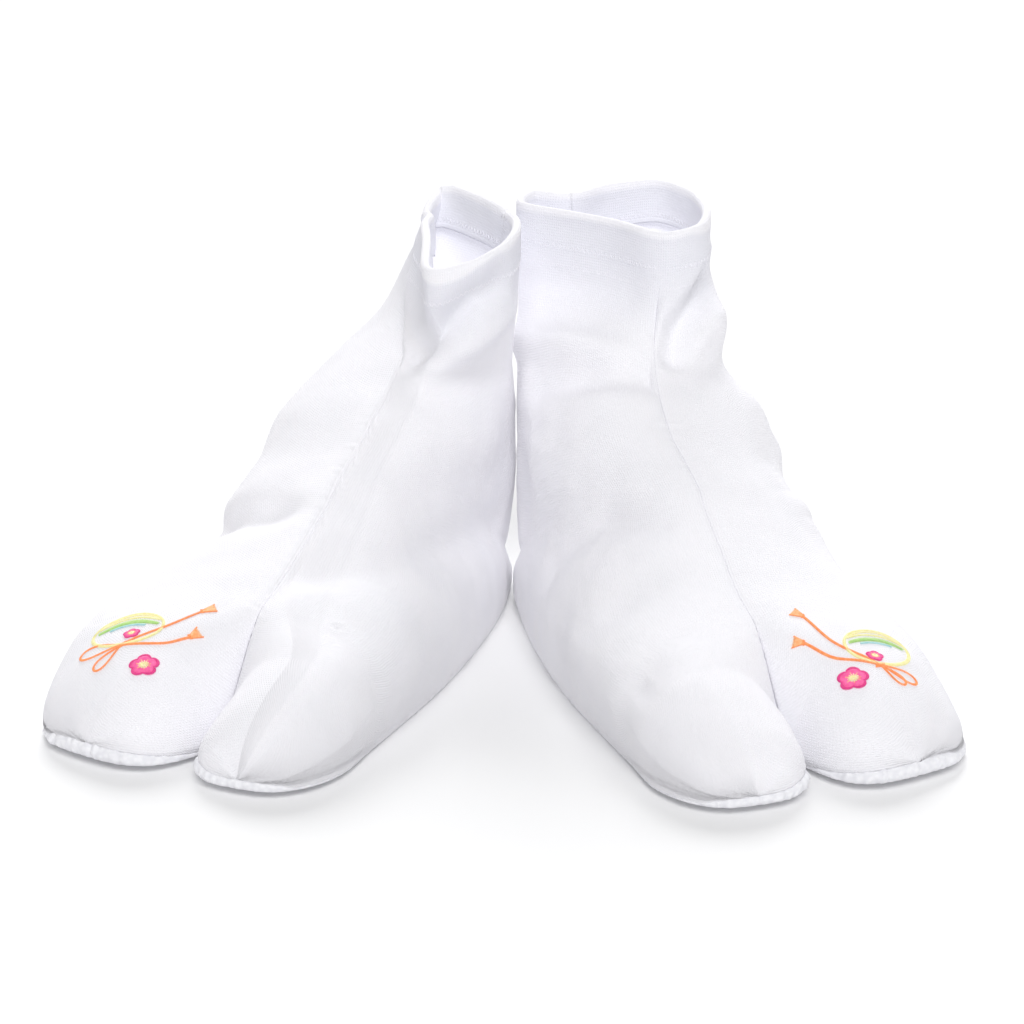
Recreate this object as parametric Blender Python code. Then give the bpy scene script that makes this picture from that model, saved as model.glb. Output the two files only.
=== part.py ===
"""Pair of tabi socks: split-toe, pull-on stretch socks that stand hollow, with open cuffs.

Each sock is four sewn pieces: a big-toe-side panel, a four-toe-side panel, a two-lobed sole
and the turned-in hem of the cuff. Lengths are in millimetres until a mesh is made.

A sock is drawn in its own frame: f runs forward from the middle of the heel to the toes,
s runs sideways towards the big toe, and z runs up from the floor. Its surface is lofted
through sections: each starts on the front seam (v = 0), goes round one side and ends on the
back seam or, past the heel, on the sole's edge (v = 1). Sections lie level at the cuff, fan
out about the instep and stand upright in the toes.
"""
import math

import bpy
import numpy as np

MM = 0.001

# Driving dimensions.
CLOTH = 1.5            # knit wall of the panels and the hem
SOLE_CLOTH = 3.0       # the pebbly sole is thicker
BACK_GAP = 0.6         # between the pieces down the back seam, which twists
SEAM_GAP = 0.3         # air between pieces that are sewn together
SOLE_LIP = 2.0         # how far the sole shows beyond the panels' lower edge
TOE_SPRING = 2.5       # lift of the toe tips off the floor
SPRING_FROM = 140.0    # f where that lift starts
SPRING_TO = 205.0      # f where it is full
SPLIT_OPENS = 148.0    # f where the front seam starts to dive between the toe pockets
SPLIT_DEEP = 172.0     # f where it reaches the sole, at the split's end
TIP_LIFT = 1.0         # more air between panel and sole at the very tip, where the wall leans back
EDGE_Z = SOLE_CLOTH + SEAM_GAP
SEAM_LIP = 4.0         # half width of the rounded valley along the front seam
SEAM_VALLEY = 1.0      # its depth

# One row per section, from the rim of the cuff to the toe tips.
# top_*: where the section crosses the front of the leg or the ridge of the foot.
# low_*: where it meets the back seam, and from the heel on the sole's edge.
# big_*, four_*: the side of the big toe and that of the four toes: the widest s,
# its height as a share of the section, and the s of the sole's edge.
# full: 2 is an elliptical shoulder and more is boxier.
SECTION_COLUMNS = ("top_f", "seam_s", "top_z", "low_f", "low_z",
                   "big_s", "big_h", "big_low", "four_s", "four_h", "four_low", "full")
SECTIONS = {
    "rim":        (34, 0, 140, -34, 150, 32, .50, 0, -32, .50, 0, 2.0),
    "under_hem":  (35, 0, 124, -33, 132, 32, .50, 0, -32, .50, 0, 2.0),
    "ankle":      (38, 1, 106, -32, 104, 33, .50, 0, -34, .52, 0, 2.1),
    "instep":     (48, 3, 92, -34, 72, 36, .50, 0, -38, .58, 0, 2.2),
    "heel":       (62, 5, 82, -37, 38, 37.5, .50, 0, -42, .60, 0, 2.3),
    "heel_low":   (70, 6, 77.5, -36, 15, 37, .48, 0, -43, .60, 0, 2.3),
    "heel_foot":  (78, 6, 73, -30, EDGE_Z, 37, .44, 0, -43, .59, 0, 2.3),
    "heel_side":  (88, 6, 68, -19, EDGE_Z, 39, .40, 24, -44, .57, -24, 2.3),
    "arch_back":  (100, 8, 62, 10, EDGE_Z, 44, .38, 38, -45, .55, -36, 2.3),
    "arch":       (116, 9, 55, 58, EDGE_Z, 52, .38, 48, -47, .50, -42, 2.2),
    "ball":       (138, 9.5, 46, 110, EDGE_Z, 58, .38, 53, -51, .46, -47, 2.2),
    "split":      (160, 8.5, 39, 156, EDGE_Z, 58, .40, 54, -55, .34, -51, 2.1),
    "toes":       (182, 6.5, 33, 182, EDGE_Z, 57, .30, 53, -57, .18, -54, 1.95),
    "tips":       (206, 4, 28, 206, EDGE_Z, 56, .28, 52, -57, .16, -54, 1.9),
}

# The two toe pockets. start: f where the pocket begins to close, tip: f of its end,
# blunt: 2 is a round end and more is squarer, seen from above and from the side,
# swept: how far its outer corner falls back behind its inner one.
POCKETS = {
    "big":  {"start": 160.0, "tip": 204.0, "blunt": 2.9, "blunt_side": 2.4, "swept": 0.0},
    "four": {"start": 154.0, "tip": 200.0, "blunt": 3.0, "blunt_side": 2.4, "swept": 7.0},
}

# Where each sock stands. heel: x, y of the middle of the heel. splay: degrees that the
# toes turn outwards. big_toe: +1 where the big toe lies towards +X. The rim is level at
# `height` over the heel and slopes with f and s; at `fades_at` the leg is back in its own shape.
SOCKS = {
    "right_sock": {"heel": (-34.0, -2.0), "splay": 23.0, "big_toe": 1,
                   "height": 141, "slope_f": -.24, "slope_s": .06, "fades_at": 58},
    "left_sock": {"heel": (36.0, -12.0), "splay": 19.5, "big_toe": -1,
                  "height": 143, "slope_f": -.12, "slope_s": -.03, "fades_at": 60},
}

# How each rim is pushed out of round: points around it, from the front seam over the
# big toe's side to the back seam and on round the other side.
RIM_COLUMNS = ("f", "s")
RIMS = {
    "right_sock": {
        "front_seam":   (-2.0, 3.0),
        "front_side":   (22.0, 12.0),
        "front_corner": (42.5, 22.5),
        "front":        (41.0, 36.5),
        "inner_front":  (31.0, 44.0),
        "inner_side":   (15.0, 44.5),
        "back_seam":    (0.0, 35.5),
        "back":         (-19.0, 12.0),
        "back_corner":  (-22.5, -2.0),
    },
    "left_sock": {
        "front_seam":   (22.0, -9.5),
        "front":        (4.0, 3.5),
        "inner_front":  (-11.5, 16.5),
        "inner_corner": (-24.5, 26.5),
        "inner_back":   (-33.5, 16.5),
        "back_seam":    (-28.5, 6.0),
        "back":         (-33.0, -10.0),
        "back_corner":  (-32.0, -30.0),
        "outer_back":   (-18.0, -38.0),
        "outer":        (1.5, -36.5),
        "outer_front":  (19.5, -25.5),
    },
}

# The largest folds: the panel, the (section, v) points that it runs through, its reach
# and its depth (a bulge is above zero).
FOLD_COLUMNS = ("panel", "path", "reach", "depth")
FOLDS = {
    "right_sock": (
        ("big", ((2.1, .12), (1.7, .28), (1.2, .40), (0.9, .52)), 6, -3.5),   # under the hem
        ("big", ((2.4, .15), (1.9, .32), (1.5, .50), (1.3, .65)), 8, 3.0),    # swell below it
        ("big", ((2.7, .14), (2.6, .40), (2.5, .65)), 7, -2.0),
        ("big", ((3.3, .30), (3.3, .50)), 13, 2.0),
        ("big", ((8.9, .28), (8.6, .40), (8.2, .56)), 11, -4.0),              # across the arch
        ("big", ((9.7, .25), (9.7, .46)), 17, 3.0),
        ("big", ((10.2, .26), (10.7, .40), (11.1, .50)), 7, -2.0),
        ("four", ((1.2, .22), (1.6, .60)), 14, 6.0),                          # leg wider than rim
        ("four", ((8.6, .16), (9.0, .40)), 9, -5.0),                          # notch in the outline
        ("four", ((9.3, .30), (10.4, .40)), 24, -7.0),
    ),
    "left_sock": (
        ("big", ((2.0, .60), (2.1, .42), (2.2, .22)), 8, 3.5),
        ("big", ((2.8, .48), (2.75, .30), (2.8, .12)), 7, -2.5),
        ("big", ((8.1, .50), (8.6, .42), (9.0, .38)), 13, -3.0),
        ("big", ((11.1, .44), (10.9, .30)), 10, -3.0),
        ("four", ((1.3, .30), (1.7, .16), (2.1, .09), (2.6, .08)), 6, -6.0),  # deep one by the seam
        ("four", ((2.1, .20), (2.1, .45)), 12, 7.0),                          # swell beside it
        ("four", ((2.7, .14), (2.7, .26), (2.75, .45)), 6, -4.0),
        ("four", ((3.4, .30), (4.3, .42)), 15, 7.0),
        ("four", ((5.5, .22), (5.4, .36), (5.3, .50)), 7, -4.0),
        ("four", ((6.8, .36), (7.8, .40)), 12, 7.0),
    ),
}

# How finely the pieces are faceted.
BODY_ROWS = 24         # rows of a panel from the rim to where its pocket starts to close
POCKET_ROWS = 6        # rows over the closing pocket
ARC_STEPS = (2, 6, 6)  # steps across a panel: valley, shoulder and flank
RIM_STEPS = 12         # points of the rim's curve for each row of its table
SEWN_SHARE = 0.14      # share of a panel's width, beside each seam, over which folds fade out
SEAM_STEP = 0.06       # angle of the last, short step at the back seam and the sole
HEM_ROWS = 3           # the panels' rows that the hem covers, about 14 mm
SOLE_ROWS = 14         # rows of the sole up to the split
SOLE_STEPS = 4         # steps across each half of the sole

SIDE_SIGN = {"big": 1, "four": -1}


def through(knots, values, at):
    """Curve without overshoot (monotone cubic) through values at knots, read at `at`."""
    knots, values = np.asarray(knots, float), np.asarray(values, float)
    step = np.diff(knots)
    slope = np.diff(values) / step
    tangent = np.zeros_like(values)
    turning = slope[:-1] * slope[1:] > 0
    weight_a, weight_b = 2 * step[1:] + step[:-1], step[1:] + 2 * step[:-1]
    safe = np.where(turning, slope[:-1] * slope[1:], 1.0)
    mean = (weight_a + weight_b) * safe / (weight_a * slope[1:] + weight_b * slope[:-1] + ~turning)
    tangent[1:-1] = np.where(turning, mean, 0.0)
    tangent[0], tangent[-1] = slope[0], slope[-1]
    i = np.clip(np.searchsorted(knots, at, side="right") - 1, 0, len(step) - 1)
    x = (at - knots[i]) / step[i]
    rise = (3 - 2 * x) * x * x
    bend = x * (1 - x) * step[i]
    return (values[i] * (1 - rise) + values[i + 1] * rise
            + bend * ((1 - x) * tangent[i] - x * tangent[i + 1]))


def smooth_step(x):
    """Rise from 0 to 1 with level ends while x goes from 0 to 1."""
    x = np.clip(x, 0.0, 1.0)
    return x * x * (3 - 2 * x)


def section_values(stations):
    """Every column of SECTIONS at these stations (0 is the first row)."""
    rows = np.array(list(SECTIONS.values()), float)
    knots = np.arange(len(rows))
    return {name: through(knots, rows[:, i], stations) for i, name in enumerate(SECTION_COLUMNS)}


def station_at(top_f):
    """Station whose section crosses the foot's ridge at this f."""
    fine = np.linspace(0, len(SECTIONS) - 1, 40 * len(SECTIONS))
    return np.interp(top_f, section_values(fine)["top_f"], fine)


def pocket_span(side):
    """Stations where a toe pocket starts to close and where it ends."""
    return station_at(POCKETS[side]["start"]), station_at(POCKETS[side]["tip"])


def closing(side, stations):
    """How far a toe pocket has closed at these stations: 0 up to its start and 1 at its tip."""
    start, tip = pocket_span(side)
    return np.round(np.clip((stations - start) / (tip - start), 0, 1), 9)


def toward_tip(start, tip, count):
    """`count` stations after start up to the tip, closer together where the end rounds off."""
    return start + (tip - start) * np.sin(np.linspace(0, math.pi / 2, count + 1)[1:])


def panel_stations(side):
    """Stations of all the mesh rows of a panel."""
    start, tip = pocket_span(side)
    return np.concatenate([np.linspace(0, start, BODY_ROWS), toward_tip(start, tip, POCKET_ROWS)])


def arc_angles():
    """Angles of the mesh columns on the three quarter arcs: valley, shoulder and flank.

    The last step is a short one, so that both panels face the same way where they are sewn.
    """
    lip, shoulder, flank = (np.linspace(0, math.pi / 2, steps + 1) for steps in ARC_STEPS)
    return lip[:-1], shoulder[:-1], np.insert(flank, -1, math.pi / 2 - SEAM_STEP)


def steps_across():
    """The v of every mesh column: the three arcs have fixed shares of it."""
    starts, spans = (0.0, 0.1, 0.55), (0.1, 0.45, 0.45)
    return np.concatenate([start + span * angles / (math.pi / 2)
                           for start, span, angles in zip(starts, spans, arc_angles())])


def loft(side, stations):
    """Points (rows, columns, 3) of one panel's outer face, in a sock that nothing has pushed."""
    sign, pocket = SIDE_SIGN[side], POCKETS[side]
    sec = {name: value[:, None] for name, value in section_values(stations).items()}
    side_s, side_h, low_s = sec[side + "_s"], sec[side + "_h"], sec[side + "_low"]
    height = sec["top_z"] - sec["low_z"]
    length = np.hypot(height, sec["top_f"] - sec["low_f"])

    # The seam runs in a shallow valley, which starts below the hem and dives in the split.
    dive = np.clip((sec["top_f"] - SPLIT_OPENS) / (SPLIT_DEEP - SPLIT_OPENS), 0, 1) ** 2
    pocketed = smooth_step((sec["top_f"] - SPLIT_OPENS + 15) / 45)
    valley = SEAM_VALLEY * smooth_step(stations[:, None] / 2) * (1 + 2 * pocketed)
    seam_s = sec["seam_s"] + sign * SEAM_GAP / 2
    crown_s = seam_s + sign * (SEAM_LIP + pocketed * (0.4 * abs(side_s - seam_s) - SEAM_LIP))
    seam_a = (1 - dive) * (1 - valley / length) + dive * SEAM_GAP / height

    # Three quarter arcs: from the valley up to the crown, out to the widest point, down and in.
    lip, shoulder, flank = arc_angles()
    round_off = 2 / sec["full"]
    low_s = np.where(low_s == 0, sign * BACK_GAP / 2, low_s)
    s = np.hstack([seam_s + (crown_s - seam_s) * (1 - np.cos(lip)),
                   crown_s + (side_s - crown_s) * np.sin(shoulder) ** round_off,
                   low_s + (side_s - low_s) * np.cos(flank)])
    a = np.hstack([1 - (1 - seam_a) * (1 - np.sin(lip)),
                   side_h + (1 - side_h) * np.cos(shoulder) ** round_off,
                   side_h * (1 - np.sin(flank))])

    # A pocket closes as its sections shrink towards the middle of the lobe and the floor.
    closed = closing(side, stations)[:, None]
    narrow = (1 - closed ** pocket["blunt"]) ** (1 / pocket["blunt"])
    lower = (1 - closed ** pocket["blunt_side"]) ** (1 / pocket["blunt_side"])
    middle = (seam_s + side_s) / 2
    s = middle + (s - middle) * narrow
    outward = (s - middle) / (side_s - middle)
    f = sec["low_f"] + a * (sec["top_f"] - sec["low_f"]) * lower - pocket["swept"] * closed * outward
    z = sec["low_z"] + a * height * lower + TIP_LIFT * closed ** 4
    return np.stack([f, s, z], -1)


def closed_curve(corners, steps):
    """Smooth ring through the corners (Catmull-Rom), with `steps` points for each of them."""
    before, after, beyond = (np.roll(corners, -shift, axis=0)[:, None] for shift in (-1, 1, 2))
    here, t = corners[:, None], np.linspace(0, 1, steps, endpoint=False)[None, :, None]
    ring = here + t * (after - before) / 2
    ring = ring + t ** 2 * (before - 2.5 * here + 2 * after - beyond / 2)
    ring = ring + t ** 3 * (1.5 * (here - after) + (beyond - before) / 2)
    return ring.reshape(-1, corners.shape[1])


def rim_ring(side, name):
    """One panel's part of its sock's rim, from the front to the back seam."""
    plain, sock, rim = loft(side, np.zeros(1))[0], SOCKS[name], RIMS[name]
    ring = closed_curve(np.array(list(rim.values())), RIM_STEPS)
    back = list(rim).index("back_seam") * RIM_STEPS
    half = ring[:back + 1] if side == "big" else np.vstack([ring[back:], ring[:1]])[::-1]

    def length_along(line):
        run = np.linalg.norm(np.diff(line, axis=0), axis=1)
        return np.concatenate([[0], np.cumsum(run)]) / run.sum()

    f, s = (np.interp(length_along(plain), length_along(half), half[:, i]) for i in (0, 1))
    z = sock["height"] + sock["slope_f"] * f + sock["slope_s"] * s
    points = np.stack([f, s, z], -1)
    for end, inner in ((0, 1), (-1, -2)):
        away = points[inner] - points[end]
        points[end] += away / np.linalg.norm(away) * SEAM_GAP / 2
    return points


def shape_cuff(points, side, name):
    """Push the top of the leg out to the sock's own rim, less and less down to `fades_at`."""
    plain = loft(side, np.zeros(1))[0]
    level, low = points[..., 2].mean(1), SOCKS[name]["fades_at"]
    pushed = smooth_step((level - low) / (plain[:, 2].mean() - low))
    return points + pushed[:, None, None] * (rim_ring(side, name) - plain)


def spring_up(points):
    """Lift the toes off the floor by TOE_SPRING."""
    lift = TOE_SPRING * smooth_step((points[..., 0] - SPRING_FROM) / (SPRING_TO - SPRING_FROM))
    return points + lift[..., None] * np.array([0, 0, 1.0])


def outward_normals(points, side):
    """Unit normals of a panel's grid, facing out of the sock."""
    normal = np.cross(np.gradient(points, axis=0), np.gradient(points, axis=1)) * SIDE_SIGN[side]
    return normal / np.maximum(np.linalg.norm(normal, axis=-1, keepdims=True), 1e-9)


def fold_path(name, side, path):
    """Points of a fold's path, read off the unpressed panel at its (section, v) pairs."""
    stations, across = panel_stations(side), steps_across()
    grid = shape_cuff(loft(side, stations), side, name)

    def read(section, v, axis):
        row = [np.interp(v, across, line) for line in grid[..., axis]]
        return np.interp(section, stations, row)

    return np.array([[read(section, v, axis) for axis in range(3)] for section, v in path])


def distance_to_path(points, corners):
    """Distance of every point to the line through the corners."""
    nearest = np.full(points.shape[:-1], np.inf)
    for start, end in zip(corners, corners[1:]):
        run = end - start
        share = np.clip(((points - start) @ run) / (run @ run), 0, 1)
        nearest = np.minimum(nearest, np.linalg.norm(points - start - share[..., None] * run, axis=-1))
    return nearest


def press_folds(points, name, side):
    """Push the panel along its normals by its folds, leaving its sewn edges where they are."""
    across = steps_across()
    free = smooth_step(across / SEWN_SHARE) * smooth_step((1 - across) / SEWN_SHARE)
    push = np.zeros(points.shape[:-1])
    for fold in FOLDS[name]:
        fold = dict(zip(FOLD_COLUMNS, fold))
        if fold["panel"] == side:
            gap = distance_to_path(points, fold_path(name, side, fold["path"]))
            push += fold["depth"] * np.exp(-(gap / fold["reach"]) ** 2)
    return points + (push * free)[..., None] * outward_normals(points, side)


def panel_surface(name, side, stations):
    """Outer face of one panel as it stands in its sock."""
    points = shape_cuff(loft(side, stations), side, name)
    return spring_up(press_folds(points, name, side))


def hem_surface(name):
    """Outer face of the turned-in hem: the panels' own top rows all round, moved inwards."""
    big, four = (panel_surface(name, side, panel_stations(side))[:HEM_ROWS] for side in SIDE_SIGN)
    front, back = (big[:, :1] + four[:, :1]) / 2, (big[:, -1:] + four[:, -1:]) / 2
    ring = np.hstack([front, big[:, 1:-1], back, four[:, -2:0:-1]])
    around = np.roll(ring, -1, axis=1) - np.roll(ring, 1, axis=1)
    normal = np.cross(np.gradient(ring, axis=0), around)
    ring = ring - normal / np.linalg.norm(normal, axis=-1, keepdims=True) * (CLOTH + SEAM_GAP)
    return np.hstack([ring, ring[:, :1]])


def sole_edges(side, stations):
    """The sole's outer edge, SOLE_LIP beyond the panel's, and its edge along the seam or split."""
    rows = loft(side, stations)
    closed = closing(side, stations)
    edges = []
    for column, lip in ((-1, np.full(len(stations), SOLE_LIP)), (0, SOLE_LIP * closed ** 2)):
        edge = rows[:, column].copy()
        run = np.gradient(edge, axis=0)
        out = np.stack([run[:, 1], -run[:, 0], 0 * run[:, 2]], -1)
        out /= np.maximum(np.linalg.norm(out, axis=1, keepdims=True), 1e-9)
        out *= np.sign(((edge - rows.mean(1)) * out).sum(1, keepdims=True))
        out[closed == 1] = (1, 0, 0)
        edges.append(edge + lip[:, None] * out)
    return edges


def sole_surface():
    """Underside of the sole as grids: the body up to the split, then one for each lobe."""
    heel, split = list(SECTIONS).index("heel_foot"), station_at(SPLIT_DEEP)
    body_stations = np.linspace(heel, split, SOLE_ROWS)
    share = np.linspace(0, 1, SOLE_STEPS + 1)[None, :, None]
    outer = {side: sole_edges(side, body_stations)[0] for side in SIDE_SIGN}
    middle = np.mean([loft(side, body_stations)[:, 0] for side in SIDE_SIGN], axis=0)
    middle[:, 0] = np.mean([outer[side][:, 0] for side in SIDE_SIGN], axis=0)
    heel_end = (section_values(body_stations[:1])["low_f"][0] - SOLE_LIP, 0, 0)
    for line in (*outer.values(), middle):
        line[0] = heel_end
    body = np.hstack([(outer["four"][:, None] * (1 - share) + middle[:, None] * share)[:, :-1],
                      middle[:, None] * (1 - share) + outer["big"][:, None] * share])
    grids = [body]
    for side in SIDE_SIGN:
        rows = np.concatenate([[split], toward_tip(split, pocket_span(side)[1], POCKET_ROWS)])
        outside, inside = sole_edges(side, rows)
        outside[0], inside[0] = outer[side][-1], middle[-1]
        outside[-1] = inside[-1] = (outside[-1] + inside[-1]) / 2
        lobe = inside[:, None] * (1 - share) + outside[:, None] * share
        grids.append(lobe if side == "big" else lobe[:, ::-1])
    for grid in grids:
        grid[..., 2] = 0
    return [spring_up(grid) for grid in grids]


def place(points, sock):
    """From a sock's own frame to the shared one, still in millimetres."""
    turn = math.radians(sock["splay"])
    toe = sock["big_toe"]
    forward = np.array([-toe * math.sin(turn), -math.cos(turn), 0])
    sideways = np.array([toe * math.cos(turn), -math.sin(turn), 0])
    up = np.array([0, 0, 1.0])
    heel = np.array([*sock["heel"], 0.0])
    return heel + points[..., :1] * forward + points[..., 1:2] * sideways + points[..., 2:] * up


def cloth_material(name, colour, roughness):
    """Matt cloth of one colour (linear RGB)."""
    material = bpy.data.materials.new(name)
    material.use_nodes = True
    shader = material.node_tree.nodes["Principled BSDF"]
    shader.inputs["Base Color"].default_value = (*colour, 1.0)
    shader.inputs["Roughness"].default_value = roughness
    shader.inputs["Metallic"].default_value = 0.0
    return material


def sheet(name, grids, flipped, thickness, material):
    """A cloth object: the grids' points welded into one face, thickened away from its outside."""
    points = np.concatenate([grid.reshape(-1, 3) for grid in grids])
    corners, welded = np.unique(np.round(points, 3), axis=0, return_inverse=True)
    faces, first = [], 0
    for grid in grids:
        rows, columns = grid.shape[:2]
        index = welded.ravel()[first:first + rows * columns].reshape(rows, columns)
        first += rows * columns
        for i in range(rows - 1):
            for j in range(columns - 1):
                loop = [index[i, j], index[i + 1, j], index[i + 1, j + 1], index[i, j + 1]]
                loop = [int(corner) for k, corner in enumerate(loop) if corner != loop[k - 1]]
                if len(loop) > 2:
                    faces.append(loop[::-1] if flipped else loop)
    mesh = bpy.data.meshes.new(name)
    mesh.from_pydata((corners * MM).tolist(), [], faces)
    mesh.validate()
    mesh.shade_smooth()
    mesh.materials.append(material)
    piece = bpy.data.objects.new(name, mesh)
    bpy.context.scene.collection.objects.link(piece)
    wall = piece.modifiers.new("wall", "SOLIDIFY")
    wall.thickness = thickness * MM
    wall.offset = -1.0
    wall.use_rim = True
    return piece


def main():
    """Build both socks, centred over the origin and standing on z = 0."""
    for old in list(bpy.data.objects):
        bpy.data.objects.remove(old, do_unlink=True)
    knit = cloth_material("white_stretch_knit", (0.86, 0.86, 0.90), 0.85)
    towelling = cloth_material("white_pebbly_sole_knit", (0.84, 0.84, 0.88), 0.95)

    pieces = []
    for name, sock in SOCKS.items():
        mirrored = sock["big_toe"] < 0
        for side, sign in SIDE_SIGN.items():
            grid = place(panel_surface(name, side, panel_stations(side)), sock)
            pieces.append((f"{name}.{side}_toe_panel", [grid], mirrored != (sign < 0), CLOTH, knit))
        pieces.append((f"{name}.cuff_hem", [place(hem_surface(name), sock)], mirrored, CLOTH, knit))
        sole = [place(grid, sock) for grid in sole_surface()]
        pieces.append((f"{name}.sole", sole, not mirrored, SOLE_CLOTH, towelling))

    everything = np.concatenate([grid.reshape(-1, 3) for _, grids, *_ in pieces for grid in grids])
    centre = (everything.min(0) + everything.max(0)) / 2 * (1, 1, 0)
    for name, grids, *rest in pieces:
        sheet(name, [grid - centre for grid in grids], *rest)


if __name__ == "__main__":
    main()
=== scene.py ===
"""Looks of a pair of white stretch-knit tabi socks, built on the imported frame.

Lengths are in millimetres until a mesh is made, and in metres from there on. A sock's own
frame is f forward from the middle of the heel, s towards the big toe and z up.
"""

import logging
import math
from dataclasses import dataclass
from enum import Enum

import bmesh
import bpy
import numpy as np
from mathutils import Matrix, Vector
from mathutils.geometry import delaunay_2d_cdt


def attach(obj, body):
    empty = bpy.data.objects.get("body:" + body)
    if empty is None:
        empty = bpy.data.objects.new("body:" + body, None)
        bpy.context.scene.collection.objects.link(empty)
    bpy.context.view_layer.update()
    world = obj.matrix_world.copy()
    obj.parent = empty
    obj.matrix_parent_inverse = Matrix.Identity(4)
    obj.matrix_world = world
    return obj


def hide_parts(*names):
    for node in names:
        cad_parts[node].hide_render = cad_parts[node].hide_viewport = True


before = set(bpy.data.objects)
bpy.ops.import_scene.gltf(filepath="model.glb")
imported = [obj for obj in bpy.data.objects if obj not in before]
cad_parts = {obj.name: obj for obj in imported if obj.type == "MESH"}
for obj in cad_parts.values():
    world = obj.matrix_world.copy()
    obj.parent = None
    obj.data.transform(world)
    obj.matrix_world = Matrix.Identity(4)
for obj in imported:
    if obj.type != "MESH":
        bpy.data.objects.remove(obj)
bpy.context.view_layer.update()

Array = np.ndarray
LOG = logging.getLogger("tabi_socks")
MM = 0.001

CENTRE = np.array([-3.496, -91.912, 0.0])  # what the CAD takes off to centre the pair

# The form, mm. It keeps close to the CAD solids, but the panels meet at their seams.
SEAM_GAP = 0.02  # between two panels that are sewn together
EDGE_Z, SIDE_DROP = 3.2, 2.3  # a panel's lower edge at the toes' front; how much lower at the sides
DROP_FROM = 0.62  # v from which a panel's flank comes down to its lower edge
TOE_SPRING, SPRING_FROM, SPRING_TO = 2.5, 140.0, 205.0  # lift of the toes, and f where it sets in and ends
SPLIT_OPENS, SPLIT_DEEP = 148.0, 172.0  # f where the split starts to cut in, and where it is through
CROWN_PARTS, CROWN_RUN = 133.0, 45.0  # f where the top parts into a crown for each pocket, and over what run
TIP_RISE = 0.3  # how far a pocket's tip stands above its own edge
SEAM_LIP = 2.6  # from the front seam to the crown beside it
SEAM_VALLEY, SPLIT_VALLEY = 0.75, 3.0  # depth of the groove along the leg and between the pockets
VALLEY_FROM = 0.9  # station below which the groove sets in
LIP_TO, FLANK_FROM = 0.1, 0.55  # v where the seam's lip ends and where the flank begins

# Sections from the rim down the leg and along the foot, mm. top and low: its points on the ridge
# and on the heel or the sole. seam_s: the front seam. big and four: a panel's widest s, the share
# of the height where that is (h), and the s of its lower edge, or 0 for the back seam (low).
# full: the power of the superellipse over the shoulder.
SECTION_COLUMNS = ("top_f", "seam_s", "top_z", "low_f", "low_z",
                   "big_s", "big_h", "big_low", "four_s", "four_h", "four_low", "full")
SECTIONS = {
    "rim":        (34, 0, 140, -34, 150, 32, .50, 0, -32, .50, 0, 2.0),
    "under_hem":  (35, 0, 124, -33, 132, 32, .50, 0, -32, .50, 0, 2.0),
    "ankle":      (38, 1, 106, -32, 104, 33, .50, 0, -34, .52, 0, 2.1),
    "instep":     (48, 3, 92, -34, 72, 36, .50, 0, -38, .58, 0, 2.2),
    "heel":       (62, 5, 82, -37, 38, 37.5, .50, 0, -42, .60, 0, 2.3),
    "heel_low":   (70, 6, 77.5, -36, 15, 37, .48, 0, -43, .60, 0, 2.3),
    "heel_foot":  (78, 6, 73, -30, EDGE_Z, 37, .44, 0, -43, .59, 0, 2.3),
    "heel_side":  (88, 6, 68, -19, EDGE_Z, 39, .40, 24, -44, .57, -24, 2.3),
    "arch_back":  (100, 7, 62, 10, EDGE_Z, 44, .38, 38, -45, .55, -36, 2.3),
    "arch":       (116, 7, 55, 58, EDGE_Z, 52, .38, 48, -47, .50, -42, 2.2),
    "ball":       (138, 7, 46, 110, EDGE_Z, 58, .38, 53, -51, .46, -47, 2.2),
    "split":      (160, 6, 39, 156, EDGE_Z, 58, .40, 54, -55, .34, -51, 2.1),
    "toes":       (182, 5, 33, 182, EDGE_Z, 57, .22, 56.4, -57, .12, -57, 1.95),
    "tips":       (206, 4, 28, 206, EDGE_Z, 56, .16, 56, -57, .10, -57, 1.9),
}
HEEL_FOOT = list(SECTIONS).index("heel_foot")
BODY_ROWS, SPLIT_ROWS, POCKET_ROWS = 176, 14, 44  # mesh rows down to the split, along it and past it
LIP_COLUMNS, SHOULDER_COLUMNS, FLANK_COLUMNS = 14, 45, 56  # mesh columns over each of these
RIM_STEPS = 24  # points for each corner of a rim


class Side(Enum):
    """The two halves of a sock's upper, named for the toes that they cover."""

    BIG = "big"
    FOUR = "four"

    @property
    def sign(self) -> int:
        """+1 towards the big toe and -1 towards the four toes."""
        return 1 if self is Side.BIG else -1


@dataclass(frozen=True)
class Pocket:
    """A toe pocket: where it starts to close and ends (mm), how blunt it is, how far swept.

    crown: how far across its width it is highest, counted from the split. outer_edge and
    inner_edge say how low the panel ends as the pocket closes: (how far closed, share of
    SIDE_DROP) on the foot's side and on the split's side.
    """

    start: float
    tip: float
    blunt: float
    blunt_side: float
    swept: float
    crown: float
    outer_edge: tuple[tuple[float, float], ...]
    inner_edge: tuple[tuple[float, float], ...]


POCKETS = {
    Side.BIG: Pocket(160.0, 204.0, 2.9, 2.2, 0.0, 0.52,
                     ((0, 1), (.9, .9), (1, .3)), ((0, 1), (.5, 1), (.78, -.3), (.92, -.3), (1, .3))),
    Side.FOUR: Pocket(154.0, 200.0, 3.0, 2.2, 7.0, 0.40,
                      ((0, 1), (.7, 1), (.92, .5), (1, -.6)),
                      ((0, 1), (.5, 1), (.8, .4), (.93, -.2), (1, -.6))),
}


@dataclass(frozen=True)
class Crease:
    """A fold: its panel, the (section, v) points it runs through, its reach and its depth.

    Below zero it is a trough and above zero a swell; lean makes one flank the steeper, and
    lips is the share of the depth by which the cloth rises again on both sides.
    """

    side: Side
    path: tuple[tuple[float, float], ...]
    reach: float
    depth: float
    lean: float = 0.0
    lips: float = 0.0


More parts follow.
